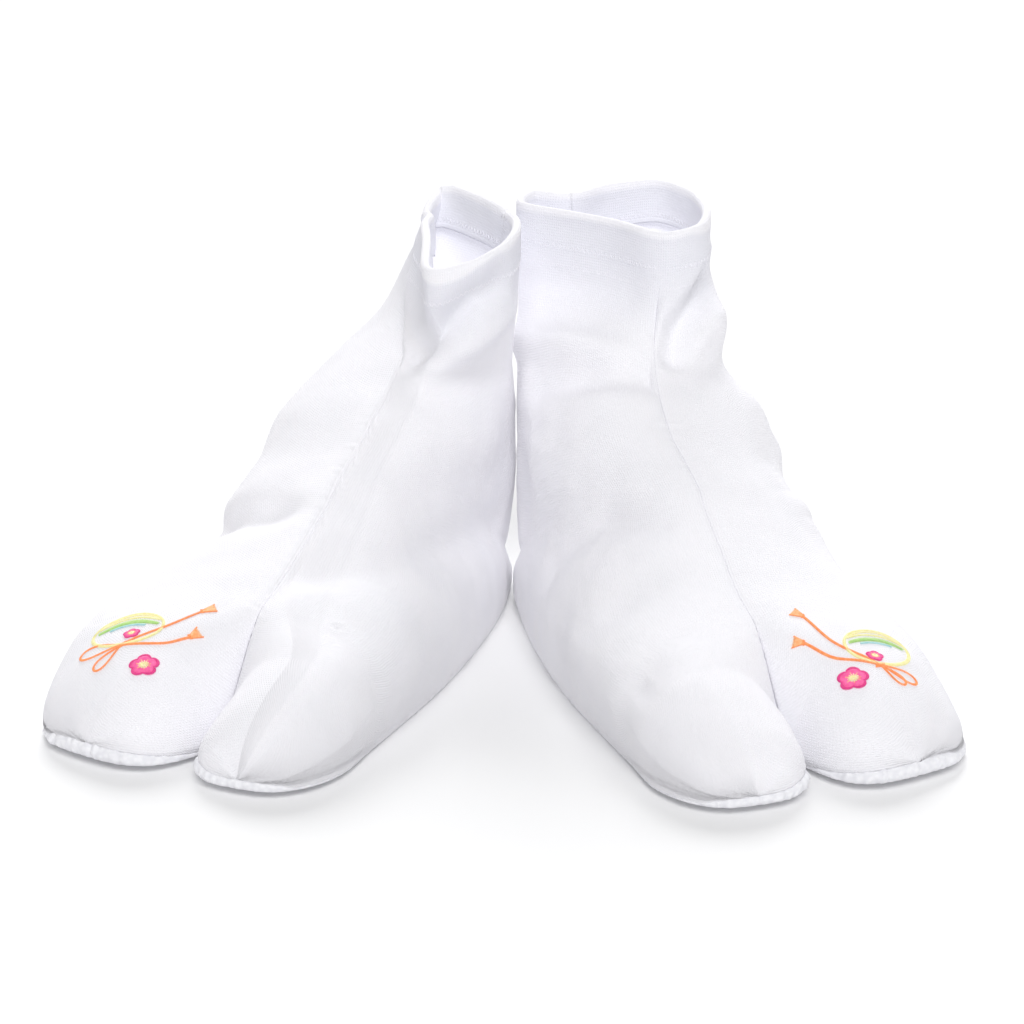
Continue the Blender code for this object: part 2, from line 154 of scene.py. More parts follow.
# ---------------------------------------------------------------- curves and fields


def through(knots: Array, values: Array, at: Array) -> Array:
    """Curve without overshoot through values at knots.

    Args: knots, values: the points it passes. at: where it is read.
    Returns: its value there: cubic pieces whose slopes are the harmonic means of the
        steps on either side, and level where the steps change sign.
    """
    step = np.diff(knots)
    slope = np.diff(values) / step
    tangent = np.zeros_like(values)
    turning = slope[:-1] * slope[1:] > 0
    weight_a, weight_b = 2 * step[1:] + step[:-1], step[1:] + 2 * step[:-1]
    safe = np.where(turning, slope[:-1] * slope[1:], 1.0)
    mean = (weight_a + weight_b) * safe / (weight_a * slope[1:] + weight_b * slope[:-1] + ~turning)
    tangent[1:-1] = np.where(turning, mean, 0.0)
    tangent[0], tangent[-1] = slope[0], slope[-1]
    i = np.clip(np.searchsorted(knots, at, side="right") - 1, 0, len(step) - 1)
    x = (at - knots[i]) / step[i]
    rise, bend = (3 - 2 * x) * x * x, x * (1 - x) * step[i]
    return (values[i] * (1 - rise) + values[i + 1] * rise
            + bend * ((1 - x) * tangent[i] - x * tangent[i + 1]))


def smooth_step(x: Array) -> Array:
    """Rise from 0 to 1 with level ends while x goes from 0 to 1."""
    x = np.clip(x, 0.0, 1.0)
    return x * x * (3 - 2 * x)


def unit(vectors: Array) -> Array:
    """The vectors at length one."""
    return vectors / np.maximum(np.linalg.norm(vectors, axis=-1, keepdims=True), 1e-12)


def soften(grid: Array, times: int) -> Array:
    """A grid of vectors averaged with its neighbours in shares of a quarter, a half and a quarter.

    Args: grid: rows, columns, 3. times: how often.
    Returns: the softened grid; its border counts as its own neighbour.
    """
    for _ in range(times):
        for axis in (0, 1):
            ends = [np.take(grid, [end], axis=axis) for end in (0, -1)]
            wide = np.concatenate([ends[0], grid, ends[1]], axis=axis)
            size = grid.shape[axis]
            before, after = (np.take(wide, range(k, k + size), axis=axis) for k in (0, 2))
            grid = (before + 2 * grid + after) / 4
    return grid


def run_length(points: Array, axis: int) -> Array:
    """Length along a grid from its first point to each point.

    Args: points: the grid. axis: 0 down its rows, 1 along them.
    Returns: the sums of the straight steps.
    """
    steps = np.linalg.norm(np.diff(points, axis=axis), axis=-1)
    start = np.zeros_like(np.take(steps, [0], axis=axis))
    return np.concatenate([start, np.cumsum(steps, axis=axis)], axis=axis)


def waves(points: Array, length: float, seed: int, count: int = 7) -> Array:
    """Smooth uneven field: sine waves that cross in all directions, over the root of their count.

    Args: points: where it is read. length: wave length, mm. seed: picks the directions.
        count: number of waves.
    Returns: its value at every point, mostly within -1 and 1.
    """
    draw = np.random.default_rng(seed)
    ways = unit(draw.normal(size=(count, points.shape[-1])))
    turns = 2 * math.pi / (length * draw.uniform(0.7, 1.5, count))
    phases = draw.uniform(0, 2 * math.pi, count)
    return np.sin(points @ (ways * turns[:, None]).T + phases).sum(-1) / math.sqrt(count)


def ripple(run: Array, pitch: float, seed: int) -> Array:
    """Puckers along a seam: three sines near one pitch, that swell and fade together.

    Args: run: length along the seam, mm. pitch: of the puckers. seed: picks their phases.
    Returns: their height there, about -1 to 1.
    """
    draw = np.random.default_rng(seed)
    phase = draw.uniform(0, 2 * math.pi, 5)
    turn = 2 * math.pi / pitch
    wave = sum(np.sin(turn * share * run + phase[i]) for i, share in enumerate((1.0, 0.71, 1.37)))
    swell = 0.6 + 0.4 * np.sin(turn * 0.13 * run + phase[3]) * np.sin(turn * 0.29 * run + phase[4])
    return wave / 2.2 * swell


def section_values(stations: Array) -> dict[str, Array]:
    """Every column of SECTIONS, read between its rows.

    Args: stations: where; 0 is the first row.
    Returns: the values there by column name.
    """
    rows = np.array(list(SECTIONS.values()), float)
    knots = np.arange(len(rows), dtype=float)
    return {name: through(knots, rows[:, i], stations) for i, name in enumerate(SECTION_COLUMNS)}


def station_at(top_f: float) -> float:
    """Station whose section crosses the foot's ridge at this f."""
    fine = np.linspace(0, len(SECTIONS) - 1, 40 * len(SECTIONS))
    return float(np.interp(top_f, section_values(fine)["top_f"], fine))


def pocket_span(side: Side) -> tuple[float, float]:
    """Stations where a toe pocket starts to close and where it ends."""
    return station_at(POCKETS[side].start), station_at(POCKETS[side].tip)


def closing(side: Side, stations: Array) -> Array:
    """How far a toe pocket has closed.

    Args: side: of the pocket. stations: where.
    Returns: 0 up to its start, rising evenly to 1 at its tip.
    """
    start, tip = pocket_span(side)
    return np.round(np.clip((stations - start) / (tip - start), 0, 1), 9)


def toward_tip(start: float, tip: float, count: int) -> Array:
    """`count` stations after start up to the tip, nearer together where the end rounds off."""
    return start + (tip - start) * np.sin(np.linspace(0, math.pi / 2, count + 1)[1:])


def columns_across() -> Array:
    """The v of every mesh column: evenly over the seam's lip, the shoulder and the flank.

    Returns: v from 0 at the front seam to 1 at the sole or the back seam.
    """
    return np.concatenate([np.linspace(0, LIP_TO, LIP_COLUMNS + 1)[:-1],
                           np.linspace(LIP_TO, FLANK_FROM, SHOULDER_COLUMNS + 1)[:-1],
                           np.linspace(FLANK_FROM, 1, FLANK_COLUMNS)])


def closed_curve(corners: Array, steps: int) -> Array:
    """Smooth ring through corners: Catmull-Rom cubics, whose slopes span the neighbours.

    Args: corners: the points it passes. steps: points from each corner to the next.
    Returns: its points, from the first corner round.
    """
    before, after, beyond = (np.roll(corners, -shift, axis=0)[:, None] for shift in (-1, 1, 2))
    here, t = corners[:, None], np.linspace(0, 1, steps, endpoint=False)[None, :, None]
    ring = here + t * (after - before) / 2
    ring = ring + t ** 2 * (before - 2.5 * here + 2 * after - beyond / 2)
    ring = ring + t ** 3 * (1.5 * (here - after) + (beyond - before) / 2)
    return ring.reshape(-1, corners.shape[1])


def loft(side: Side, stations: Array, across: Array, shift: tuple[tuple[float, float], ...]) -> Array:
    """One panel's outer face in a sock that nothing has pushed.

    Each section is three quarter arcs: from the seam's valley up to the crown, a
    superellipse out to the widest point, and an ellipse down and in to the sole or the
    back seam. Past its start a pocket's sections shrink towards the middle of its lobe.
    Args: side: which panel. stations: its rows. across: its columns, v from 0 to 1.
        shift: how far the seam lies towards the big toe, as (station, mm) pairs.
    Returns: points (rows, columns, 3) as f, s, z.
    """
    sign, pocket = side.sign, POCKETS[side]
    sec = {name: value[:, None] for name, value in section_values(stations).items()}
    sec["seam_s"] = sec["seam_s"] + through(*np.array(shift, float).T, stations)[:, None]
    side_s, side_h, low_s = (sec[side.value + end] for end in ("_s", "_h", "_low"))
    height = sec["top_z"] - sec["low_z"]
    length = np.hypot(height, sec["top_f"] - sec["low_f"])

    dive = np.clip((sec["top_f"] - SPLIT_OPENS) / (SPLIT_DEEP - SPLIT_OPENS), 0, 1) ** 2
    pocketed = smooth_step((sec["top_f"] - CROWN_PARTS) / CROWN_RUN)
    valley = SEAM_VALLEY + (SPLIT_VALLEY - SEAM_VALLEY) * pocketed
    valley = valley * smooth_step(stations[:, None] - VALLEY_FROM)
    seam_s = sec["seam_s"] + sign * SEAM_GAP / 2
    crown_s = seam_s + sign * (SEAM_LIP + pocketed * (pocket.crown * abs(side_s - seam_s) - SEAM_LIP))
    seam_a = (1 - dive) * (1 - valley / length) + dive * SEAM_GAP / height

    turn = math.pi / 2
    lip, shoulder, flank = (np.clip((across - start) / span, 0, 1) * turn
                            for start, span in ((0, LIP_TO), (LIP_TO, FLANK_FROM - LIP_TO),
                                                (FLANK_FROM, 1 - FLANK_FROM)))
    low_s = np.where(low_s == 0, sign * SEAM_GAP / 2, low_s)
    in_lip, in_flank = across < LIP_TO, across >= FLANK_FROM
    round_off = 2 / sec["full"]
    s = np.where(in_lip, seam_s + (crown_s - seam_s) * (1 - np.cos(lip)),
                 np.where(in_flank, low_s + (side_s - low_s) * np.cos(flank),
                          crown_s + (side_s - crown_s) * np.sin(shoulder) ** round_off))
    a = np.where(in_lip, 1 - (1 - seam_a) * (1 - np.sin(lip)),
                 np.where(in_flank, side_h * (1 - np.sin(flank)),
                          side_h + (1 - side_h) * np.cos(shoulder) ** round_off))

    closed = closing(side, stations)[:, None]
    narrow = (1 - closed ** pocket.blunt) ** (1 / pocket.blunt)
    lower = (1 - closed ** pocket.blunt_side) ** (1 / pocket.blunt_side)
    middle = (seam_s + side_s) / 2
    s = middle + (s - middle) * narrow
    outward = (s - middle) / (side_s - middle)
    f = sec["low_f"] + a * (sec["top_f"] - sec["low_f"]) * lower - pocket.swept * closed * outward
    z = sec["low_z"] + a * height * lower + TIP_RISE * closed ** 4
    outer, inner = (np.interp(closed, *zip(*edge)) for edge in (pocket.outer_edge, pocket.inner_edge))
    low_side, low_split = (share + (1 - share) * closed ** 8 for share in (
        smooth_step((across - DROP_FROM) / (1 - DROP_FROM)), smooth_step(1 - across / LIP_TO) * dive))
    drop = low_side * outer + (low_split * inner - low_side * outer) * smooth_step(1 - across / .5)
    return np.stack([f, s, z - SIDE_DROP * smooth_step(stations[:, None] - HEEL_FOOT + 1) * drop], -1)


def spring_up(points: Array) -> Array:
    """The points with the toes lifted, by a smooth step of f that ends at TOE_SPRING."""
    lift = TOE_SPRING * smooth_step((points[..., 0] - SPRING_FROM) / (SPRING_TO - SPRING_FROM))
    return points + lift[..., None] * np.array([0, 0, 1.0])


def to_path(points: Array, normals: Array, corners: Array) -> tuple[Array, Array, Array]:
    """How points lie to the line through the corners.

    Args: points, normals: of the surface. corners: of the line.
    Returns: the distance to the line, the side of it as -1 to 1, and the share of the
        line's length run at the nearest point.
    """
    gap = np.full(points.shape[:-1], np.inf)
    turned, share_run = np.zeros_like(gap), np.zeros_like(gap)
    lengths = np.linalg.norm(np.diff(corners, axis=0), axis=1)
    done = np.concatenate([[0], np.cumsum(lengths)]) / lengths.sum()
    for k, (start, end) in enumerate(zip(corners, corners[1:])):
        run = end - start
        share = np.clip(((points - start) @ run) / (run @ run), 0, 1)
        off = points - start - share[..., None] * run
        distance = np.linalg.norm(off, axis=-1)
        nearer = distance < gap
        gap = np.where(nearer, distance, gap)
        beside = (np.cross(run / lengths[k], off) * normals).sum(-1) / np.maximum(distance, 1e-6)
        turned = np.where(nearer, beside, turned)
        share_run = np.where(nearer, done[k] + share * (done[k + 1] - done[k]), share_run)
    return gap, turned, share_run


# ---------------------------------------------------------------- meshes


def grid_faces(rows: int, columns: int, first: int = 0, wrap: bool = False) -> Array:
    """Faces of a grid of points that are numbered row by row.

    Args: rows, columns: of the grid. first: its first point's number. wrap: whether its
        last column joins its first.
    Returns: corner numbers (n, 4).
    """
    index = first + np.arange(rows * columns).reshape(rows, columns)
    if wrap:
        index = np.hstack([index, index[:, :1]])
    quads = [index[:-1, :-1], index[1:, :-1], index[1:, 1:], index[:-1, 1:]]
    return np.stack(quads, -1).reshape(-1, 4)


@dataclass(frozen=True)
class Cloth:
    """Points, faces and flat coordinates of a mesh in the making, in mm.

    inside is 1 on what faces into the sock and 0 on what faces out of it; the knit's painted glow is
    stronger where it is high.
    """

    points: Array
    faces: tuple[Array, ...]
    flat: Array
    inside: Array | None = None

    def put(self, name: str, material: bpy.types.Material, weld: bool = True) -> bpy.types.Object:
        """Make it an object that rides on the root.

        Args: name: the piece's name. material: its finish. weld: join its doubled
            points and turn its faces outwards.
        Returns: the object, at the origin, with its flat coordinates in the UV map "flat"
            and, where it is given, the attribute "inside".
        """
        mesh = bpy.data.meshes.new(name)
        loops = [corner for faces in self.faces for corner in faces.tolist()]
        mesh.from_pydata(self.points * MM, [], loops)
        corners = np.empty(len(mesh.loops), np.int32)
        mesh.loops.foreach_get("vertex_index", corners)
        layer = mesh.uv_layers.new(name="flat")
        layer.data.foreach_set("uv", (self.flat[corners] * MM).astype(np.float32).ravel())
        if self.inside is not None:
            mesh.attributes.new("inside", "FLOAT", "POINT").data.foreach_set("value", self.inside)
        if weld:
            work = bmesh.new()
            work.from_mesh(mesh)
            bmesh.ops.remove_doubles(work, verts=work.verts, dist=1e-7)
            bmesh.ops.dissolve_degenerate(work, edges=work.edges, dist=1e-8)
            bmesh.ops.recalc_face_normals(work, faces=work.faces)
            work.to_mesh(mesh)
            work.free()
        mesh.shade_smooth()
        mesh.materials.append(material)
        piece = bpy.data.objects.new(name, mesh)
        bpy.context.scene.collection.objects.link(piece)
        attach(piece, "root")
        LOG.info("%s: %d faces", name, len(mesh.polygons))
        return piece


def shell(outer: Array, inner: Array, flat: Array, rows_inside: Array) -> Cloth:
    """A closed thin wall between two grids of the same size, joined along their borders.

    Args: outer, inner: the grids. flat: of both. rows_inside: how far each row of the
        outer grid faces into the sock, 0 to 1.
    Returns: the wall: both grids, and a band of faces along the border.
    """
    rows, columns = outer.shape[:2]
    count = rows * columns
    front, back = grid_faces(rows, columns), grid_faces(rows, columns, count)[:, ::-1]
    index = np.arange(count).reshape(rows, columns)
    border = np.concatenate([index[0, :-1], index[:-1, -1], index[-1, :0:-1], index[:0:-1, 0]])
    after = np.roll(border, -1)
    edge = np.stack([border, after, after + count, border + count], -1)
    points = np.concatenate([outer.reshape(-1, 3), inner.reshape(-1, 3)])
    inside = np.concatenate([np.repeat(rows_inside, columns), np.ones(count)])
    return Cloth(points, (front, back, edge), np.concatenate([flat.reshape(-1, 2)] * 2), inside)


def strands(paths: Array, normals: Array, radius: Array | float, sides: int = 5) -> Cloth:
    """Threads along paths.

    Args: paths: points (threads, points, 3). normals: of what they lie on, the same
        size. radius: of the thread, for all or for each point. sides: of its section.
    Returns: closed tubes: at every point a ring about the path, in the plane of the
        normal and of the normal crossed with the run, drawn to a point at both ends.
    """
    threads, length = paths.shape[:2]
    run = unit(np.gradient(paths, axis=1))
    up = unit(normals - (normals * run).sum(-1, keepdims=True) * run)
    beside = np.cross(up, run)
    angle = np.linspace(0, 2 * math.pi, sides, endpoint=False)
    size = np.broadcast_to(radius, (threads, length)).copy()
    size[:, [0, -1]] *= 0.05
    ring = (np.cos(angle)[:, None] * beside[..., None, :] + np.sin(angle)[:, None] * up[..., None, :])
    points = paths[..., None, :] + size[..., None, None] * ring
    along = np.broadcast_to(run_length(paths, 1)[..., None], (threads, length, sides))
    around = np.broadcast_to(angle / (2 * math.pi), (threads, length, sides))
    one = grid_faces(length, sides, wrap=True)
    faces = one[None] + (np.arange(threads) * length * sides)[:, None, None]
    caps = np.stack([np.arange(sides)[::-1], (length - 1) * sides + np.arange(sides)])
    caps = caps[None] + (np.arange(threads) * length * sides)[:, None, None]
    return Cloth(points.reshape(-1, 3), (faces.reshape(-1, 4), caps.reshape(-1, sides)),
                 np.stack([around, along], -1).reshape(-1, 2))


def joined(parts: list[Cloth]) -> Cloth:
    """Several meshes as one.

    Args: parts: the meshes.
    Returns: one with their points in order, without an inside.
    """
    first, faces = 0, []
    for part in parts:
        faces.extend(group + first for group in part.faces)
        first += len(part.points)
    return Cloth(np.concatenate([part.points for part in parts]), tuple(faces),
                 np.concatenate([part.flat for part in parts]))


# ---------------------------------------------------------------- finishes


def linear(colour: str) -> tuple[float, float, float, float]:
    """Linear RGBA of an sRGB hex colour, such as #F4F4F8, by the sRGB curve."""
    parts = (int(colour[i:i + 2], 16) / 255 for i in (1, 3, 5))
    return (*(c / 12.92 if c <= 0.04045 else ((c + 0.055) / 1.055) ** 2.4 for c in parts), 1.0)


def wave_scale(pitch: float) -> float:
    """Scale of a Wave texture whose bands lie `pitch` mm apart."""
    return 2 * math.pi / (20 * pitch * MM)


def grain_scale(size: float) -> float:
    """Scale of a Noise or Voronoi texture whose grain is `size` mm across."""
    return 1 / (size * MM)


def fill_in(tree: bpy.types.NodeTree, node: bpy.types.Node, inputs: dict) -> None:
    """Give a node its inputs: sockets are linked to it, and anything else is set on it.

    Args: tree: the node's tree. node: the node. inputs: values or sockets by input name
        or number.
    """
    for key, value in inputs.items():
        if isinstance(value, bpy.types.NodeSocket):
            tree.links.new(value, node.inputs[key])
        else:
            node.inputs[key].default_value = value


def add(tree: bpy.types.NodeTree, kind: str, inputs: dict | None = None, **settings) -> bpy.types.Node:
    """Add a node.

    Args: tree: where. kind: its type without the leading ShaderNode. inputs: values or
        sockets by input name or number. settings: the node's own properties.
    Returns: the node.
    """
    node = tree.nodes.new("ShaderNode" + kind)
    for key, value in settings.items():
        setattr(node, key, value)
    fill_in(tree, node, inputs or {})
    return node


def blank_material(name: str) -> tuple[bpy.types.Material, bpy.types.NodeTree, bpy.types.Node]:
    """Start a material.

    Args: name: what it is called.
    Returns: the material, its node tree and its Principled shader.
    """
    material = bpy.data.materials.new(name)
    material.use_nodes = True
    material.cycles.emission_sampling = "NONE"  # the painted glows are too faint to light anything
    tree = material.node_tree
    return material, tree, tree.nodes["Principled BSDF"]


@dataclass(frozen=True)
class StretchKnit:
    """Fine cotton and nylon jersey, circular-knit and bleached. Lengths in mm.

    Courses and wales make a soft grid that is only just seen, and loose fibres leave it
    matt with a faint sheen at grazing angles. The real pitch is near 0.5 mm; it is drawn
    coarser, since it would not show. The cloth has a painted glow, a faint lavender light
    of its own, and more of it on the faces inside the sock, where it stands in for light
    through the wall: both lift the shade inside the cuffs. Near the rim the colour is a
    painted shade, darker and lavender, where the light from above falls less on the upright
    cuff; the roll at the rim, which catches that light, is left out of it.
    """

    name: str = "white_stretch_knit_jersey"
    colour: str = "#F8F7FB"
    shade: str = "#EDEDF1"
    # painted shade: the cuff's darker lavender colour, where the light from above falls less on the upright
    # leg
    cuff: str = "#E8E8EF"
    cuff_fades: tuple[float, float] = (30.0, 58.0)  # up from the hem's inner edge and over the rim
    roll_at: float = 16.7  # from that edge to the roll's top
    roll_ends: tuple[float, float] = (2.4, 4.2)  # to each side of the roll's top
    course: float = 0.95
    wale: float = 0.85
    wander: float = 0.9
    slub: float = 3.846
    cloud: float = 28.57
    depth: float = 0.17
    # painted glow: the knit's emission colour and strength, and its extra on faces inside the sock, standing
    # in for light through the wall
    glow: str = "#F8F8FC"
    painted_glow_strength: float = 0.065
    light_through: float = 0.15
    roughness: float = 0.85
    specular: float = 0.25
    sheen: float = 0.12

    def build(self) -> bpy.types.Material:
        """Make the material.

        Returns: the material, which reads the UV map "flat" and the attribute "inside".
        """
        material, tree, shader = blank_material(self.name)
        flat = add(tree, "UVMap", uv_map="flat").outputs["UV"]
        own = add(tree, "TexCoord").outputs["Object"]
        slubs = add(tree, "TexNoise", {"Vector": own, "Scale": grain_scale(self.slub), "Detail": 2.0})
        courses, wales = (
            add(tree, "TexWave", {"Vector": flat, "Scale": wave_scale(pitch), "Distortion": self.wander,
                                  "Detail": 1.0, "Detail Scale": 0.4},
                wave_type="BANDS", bands_direction=way).outputs["Fac"]
            for pitch, way in ((self.course, "Y"), (self.wale, "X")))
        loops = add(tree, "Math", {0: courses, 1: wales}, operation="MULTIPLY")
        relief = add(tree, "Math", {0: slubs.outputs["Fac"], 1: 0.6, 2: loops.outputs[0]},
                     operation="MULTIPLY_ADD")
        bump = add(tree, "Bump", {"Strength": 0.75, "Distance": self.depth * MM,
                                  "Height": relief.outputs[0]})
        cloud = add(tree, "TexNoise", {"Vector": own, "Scale": grain_scale(self.cloud), "Detail": 3.0})
        tone = add(tree, "MapRange", {"Value": cloud.outputs["Fac"], "From Min": 0.35, "From Max": 0.7,
                                      "To Min": 0.0, "To Max": 0.35})
        body = add(tree, "Mix", {"Factor": tone.outputs[0], "A": linear(self.colour),
                                 "B": linear(self.shade)}, data_type="RGBA")
        run = add(tree, "SeparateXYZ", {"Vector": flat}).outputs["Y"]
        # painted shade on the cuff: full near the rim, fading down the leg, and left off the roll at the rim
        # that the light from above catches
        near_rim = add(tree, "MapRange", {"Value": run, "From Min": self.cuff_fades[0] * MM,
                                          "From Max": self.cuff_fades[1] * MM,
                                          "To Min": 1.0, "To Max": 0.0})
        past_roll = add(tree, "Math", {0: run, 1: self.roll_at * MM}, operation="SUBTRACT")
        from_roll = add(tree, "Math", {0: past_roll.outputs[0]}, operation="ABSOLUTE")
        off_roll = add(tree, "MapRange", {"Value": from_roll.outputs[0],
                                          "From Min": self.roll_ends[0] * MM,
                                          "From Max": self.roll_ends[1] * MM})
        painted_cuff_shade = add(tree, "Math", {0: near_rim.outputs[0], 1: off_roll.outputs[0]}, operation="MULTIPLY")
        colour = add(tree, "Mix", {"Factor": painted_cuff_shade.outputs[0], "A": body.outputs["Result"],
                                   "B": linear(self.cuff)}, data_type="RGBA")
        # painted glow: emission over all the knit, stronger on faces inside the sock
        inside = add(tree, "Attribute", attribute_name="inside", attribute_type="GEOMETRY")
        glow = add(tree, "Math", {0: inside.outputs["Fac"], 1: self.light_through, 2: self.painted_glow_strength},
                   operation="MULTIPLY_ADD")
        fill_in(tree, shader, {
            "Base Color": colour.outputs["Result"], "Normal": bump.outputs["Normal"],
            "Emission Color": linear(self.glow), "Emission Strength": glow.outputs[0],
            "Roughness": self.roughness, "Specular IOR Level": self.specular,
            "Sheen Weight": self.sheen, "Sheen Roughness": 0.5})
        return material


@dataclass(frozen=True)
class PebblySoleKnit:
    """Thick looped towelling, bleached: small soft knops, quite matt. Lengths in mm.

    The hollows between its knops are painted in a darker shade, and it has the knit's painted glow, so that
    they stay pale.
    """

    name: str = "white_towelling_sole_knit"
    colour: str = "#F5F5F8"
    # painted shade for the hollows between the knops
    painted_hollow_shade: str = "#E7E7EC"
    # painted glow: the sole's emission, which lifts its shade
    glow: str = "#F6F6FC"
    painted_glow_strength: float = 0.06
    knop: float = 1.8
    fuzz: float = 0.7143
    depth: float = 0.35
    roughness: float = 0.95
    specular: float = 0.15
    sheen: float = 0.1

    def build(self) -> bpy.types.Material:
        """Make the material.

        Returns: the material, which reads Object coordinates.
        """
        material, tree, shader = blank_material(self.name)
        own = add(tree, "TexCoord").outputs["Object"]
        knops = add(tree, "TexVoronoi", {"Vector": own, "Scale": grain_scale(self.knop), "Smoothness": 0.6},
                    feature="SMOOTH_F1")
        fuzz = add(tree, "TexNoise", {"Vector": own, "Scale": grain_scale(self.fuzz), "Detail": 3.0})
        height = add(tree, "Math", {0: fuzz.outputs["Fac"], 1: 0.35, 2: knops.outputs["Distance"]},
                     operation="MULTIPLY_ADD")
        bump = add(tree, "Bump", {"Strength": 0.8, "Distance": self.depth * MM,
                                  "Height": height.outputs[0]}, invert=True)
        # painted shade: darker in the hollows between the knops
        tone = add(tree, "MapRange", {"Value": knops.outputs["Distance"], "From Min": 0.25,
                                      "From Max": 0.75, "To Min": 0.0, "To Max": 0.8})
        colour = add(tree, "Mix", {"Factor": tone.outputs[0], "A": linear(self.colour),
                                   "B": linear(self.painted_hollow_shade)}, data_type="RGBA")
        fill_in(tree, shader, {
            "Base Color": colour.outputs["Result"], "Normal": bump.outputs["Normal"],
            "Emission Color": linear(self.glow), "Emission Strength": self.painted_glow_strength,
            "Roughness": self.roughness, "Specular IOR Level": self.specular,
            "Sheen Weight": self.sheen})
        return material


@dataclass(frozen=True)
class Thread:
    """Spun thread of one dye: its plies show as fine slanted bars, and rayon shines a little.

    ply and mottle are the plies' pitch and the size of the dye's uneven spots, in mm. The thread also has a
    painted glow in its own colour, which lifts its shade.
    """

    name: str
    colour: str
    deep: str
    roughness: float = 0.45
    sheen: float = 0.1
    ply: float = 0.45
    mottle: float = 1.111
    depth: float = 0.05
    # painted glow in the thread's own colour, which lifts its shade
    glow: float = 0.0

    def build(self) -> bpy.types.Material:
        """Make the material.

        Returns: the material, which reads the UV map "flat" and Object coordinates.
        """
        material, tree, shader = blank_material(self.name)
        own = add(tree, "TexCoord").outputs["Object"]
        flat = add(tree, "UVMap", uv_map="flat").outputs["UV"]
        plies = add(tree, "TexWave", {"Vector": flat, "Scale": wave_scale(self.ply)},
                    wave_type="BANDS", bands_direction="Y")
        spots = add(tree, "TexNoise", {"Vector": own, "Scale": grain_scale(self.mottle), "Detail": 2.0})
        bump = add(tree, "Bump", {"Strength": 0.4, "Distance": self.depth * MM,
                                  "Height": plies.outputs["Fac"]})
        tone = add(tree, "MapRange", {"Value": spots.outputs["Fac"], "From Min": 0.35, "From Max": 0.65})
        colour = add(tree, "Mix", {"Factor": tone.outputs[0], "A": linear(self.colour),
                                   "B": linear(self.deep)}, data_type="RGBA")
        fill_in(tree, shader, {
            "Base Color": colour.outputs["Result"], "Normal": bump.outputs["Normal"],
            "Emission Color": linear(self.colour), "Emission Strength": self.glow,
            "Roughness": self.roughness, "Sheen Weight": self.sheen})
        return material


class Dye(Enum):
    """The embroidery's threads."""

    # each thread has a painted glow in its own colour, which lifts its shade
    ORANGE = Thread("orange_rayon_embroidery_thread", "#FFA768", "#F78C4C", glow=0.15)
    APRICOT = Thread("apricot_rayon_embroidery_thread", "#FFC894", "#FBAA68", glow=0.12)
    PINK = Thread("pink_rayon_embroidery_thread", "#FF74B0", "#F0589C", glow=0.15)
    CRIMSON = Thread("crimson_rayon_embroidery_thread", "#EE4A98", "#DE3C88", glow=0.12)
    YELLOW = Thread("pale_yellow_rayon_embroidery_thread", "#FBF7C2", "#F2EAA2", glow=0.12)
    GREEN = Thread("leaf_green_rayon_embroidery_thread", "#C4E494", "#A8D67C", glow=0.12)
    CREAM = Thread("cream_rayon_embroidery_thread", "#FDF7CC", "#F6EBAA", glow=0.12)
    BLUE = Thread("pale_blue_rayon_embroidery_thread", "#BCE4E4", "#A2D6DC", glow=0.12)


# ---------------------------------------------------------------- the socks


Spans = tuple[tuple[float, float], tuple[float, float]]  # v from and to, on each panel in Side's order


@dataclass(frozen=True)
class Zigzag:
    """A row of zigzag stitches round a cuff, mm.

    depth: below the rim. width, pitch: of the zigzag. lift: off the outer face; below
    zero is inside. thread: its radius. drift, drift_turn: how far the row strays from
    level, and by how many radians a stitch.
    """

    depth: float
    width: float
    pitch: float
    lift: float
    thread: float = 0.14
    drift: float = 0.12
    drift_turn: float = 0.37


@dataclass(frozen=True)
class Motif:
    """Where the embroidery's parts lie, in mm from its plum blossom: x right and y up the foot.

    origin, facing: the blossom's place and the way it faces, in the shared frame. ball:
    centre x, y, half length, half width and tilt in degrees. loops: tips of the bow's
    loops. tails: the cords from the knot, each to the end of its tassel.
    """

    origin: tuple[float, float, float]
    facing: tuple[float, float, float]
    ball: tuple[float, float, float, float, float]
    blossom: tuple[float, float]
    knot: tuple[float, float]
    loops: tuple[tuple[float, float], ...]
    tails: tuple[tuple[tuple[float, float], ...], ...]


@dataclass(frozen=True)
class SockSizes:
    """One sock: where it stands, its rim and its folds.

    heel: x, y of the middle of the heel. splay: degrees that the toes turn outwards.
    big_toe: +1 where the big toe lies towards +X. The rim is level at `height` over the
    heel and slopes with f and s; at `fades_at` the leg is back in its own shape.
    rim: the (f, s) corners around it, the first at the front seam and the one numbered
    `back_corner` at the back seam. corner: the v at which the big-toe panel reaches the
    third of them, or 0 where v simply goes with the length along the rim. lower_row:
    where the lower of the hem's two rows of stitches shows.
    """

    name: str
    heel: tuple[float, float]
    splay: float
    big_toe: int
    height: float
    slope_f: float
    slope_s: float
    fades_at: float
    corner: float
    rim: tuple[tuple[float, float], ...]
    back_corner: int
    lower_row: Spans
    seam_shift: tuple[tuple[float, float], ...]  # (station, mm towards the big toe)
    creases: tuple[Crease, ...]
    motif: Motif
    seed: int


ALL_ROUND: Spans = ((0.01, 0.99), (0.01, 0.99))

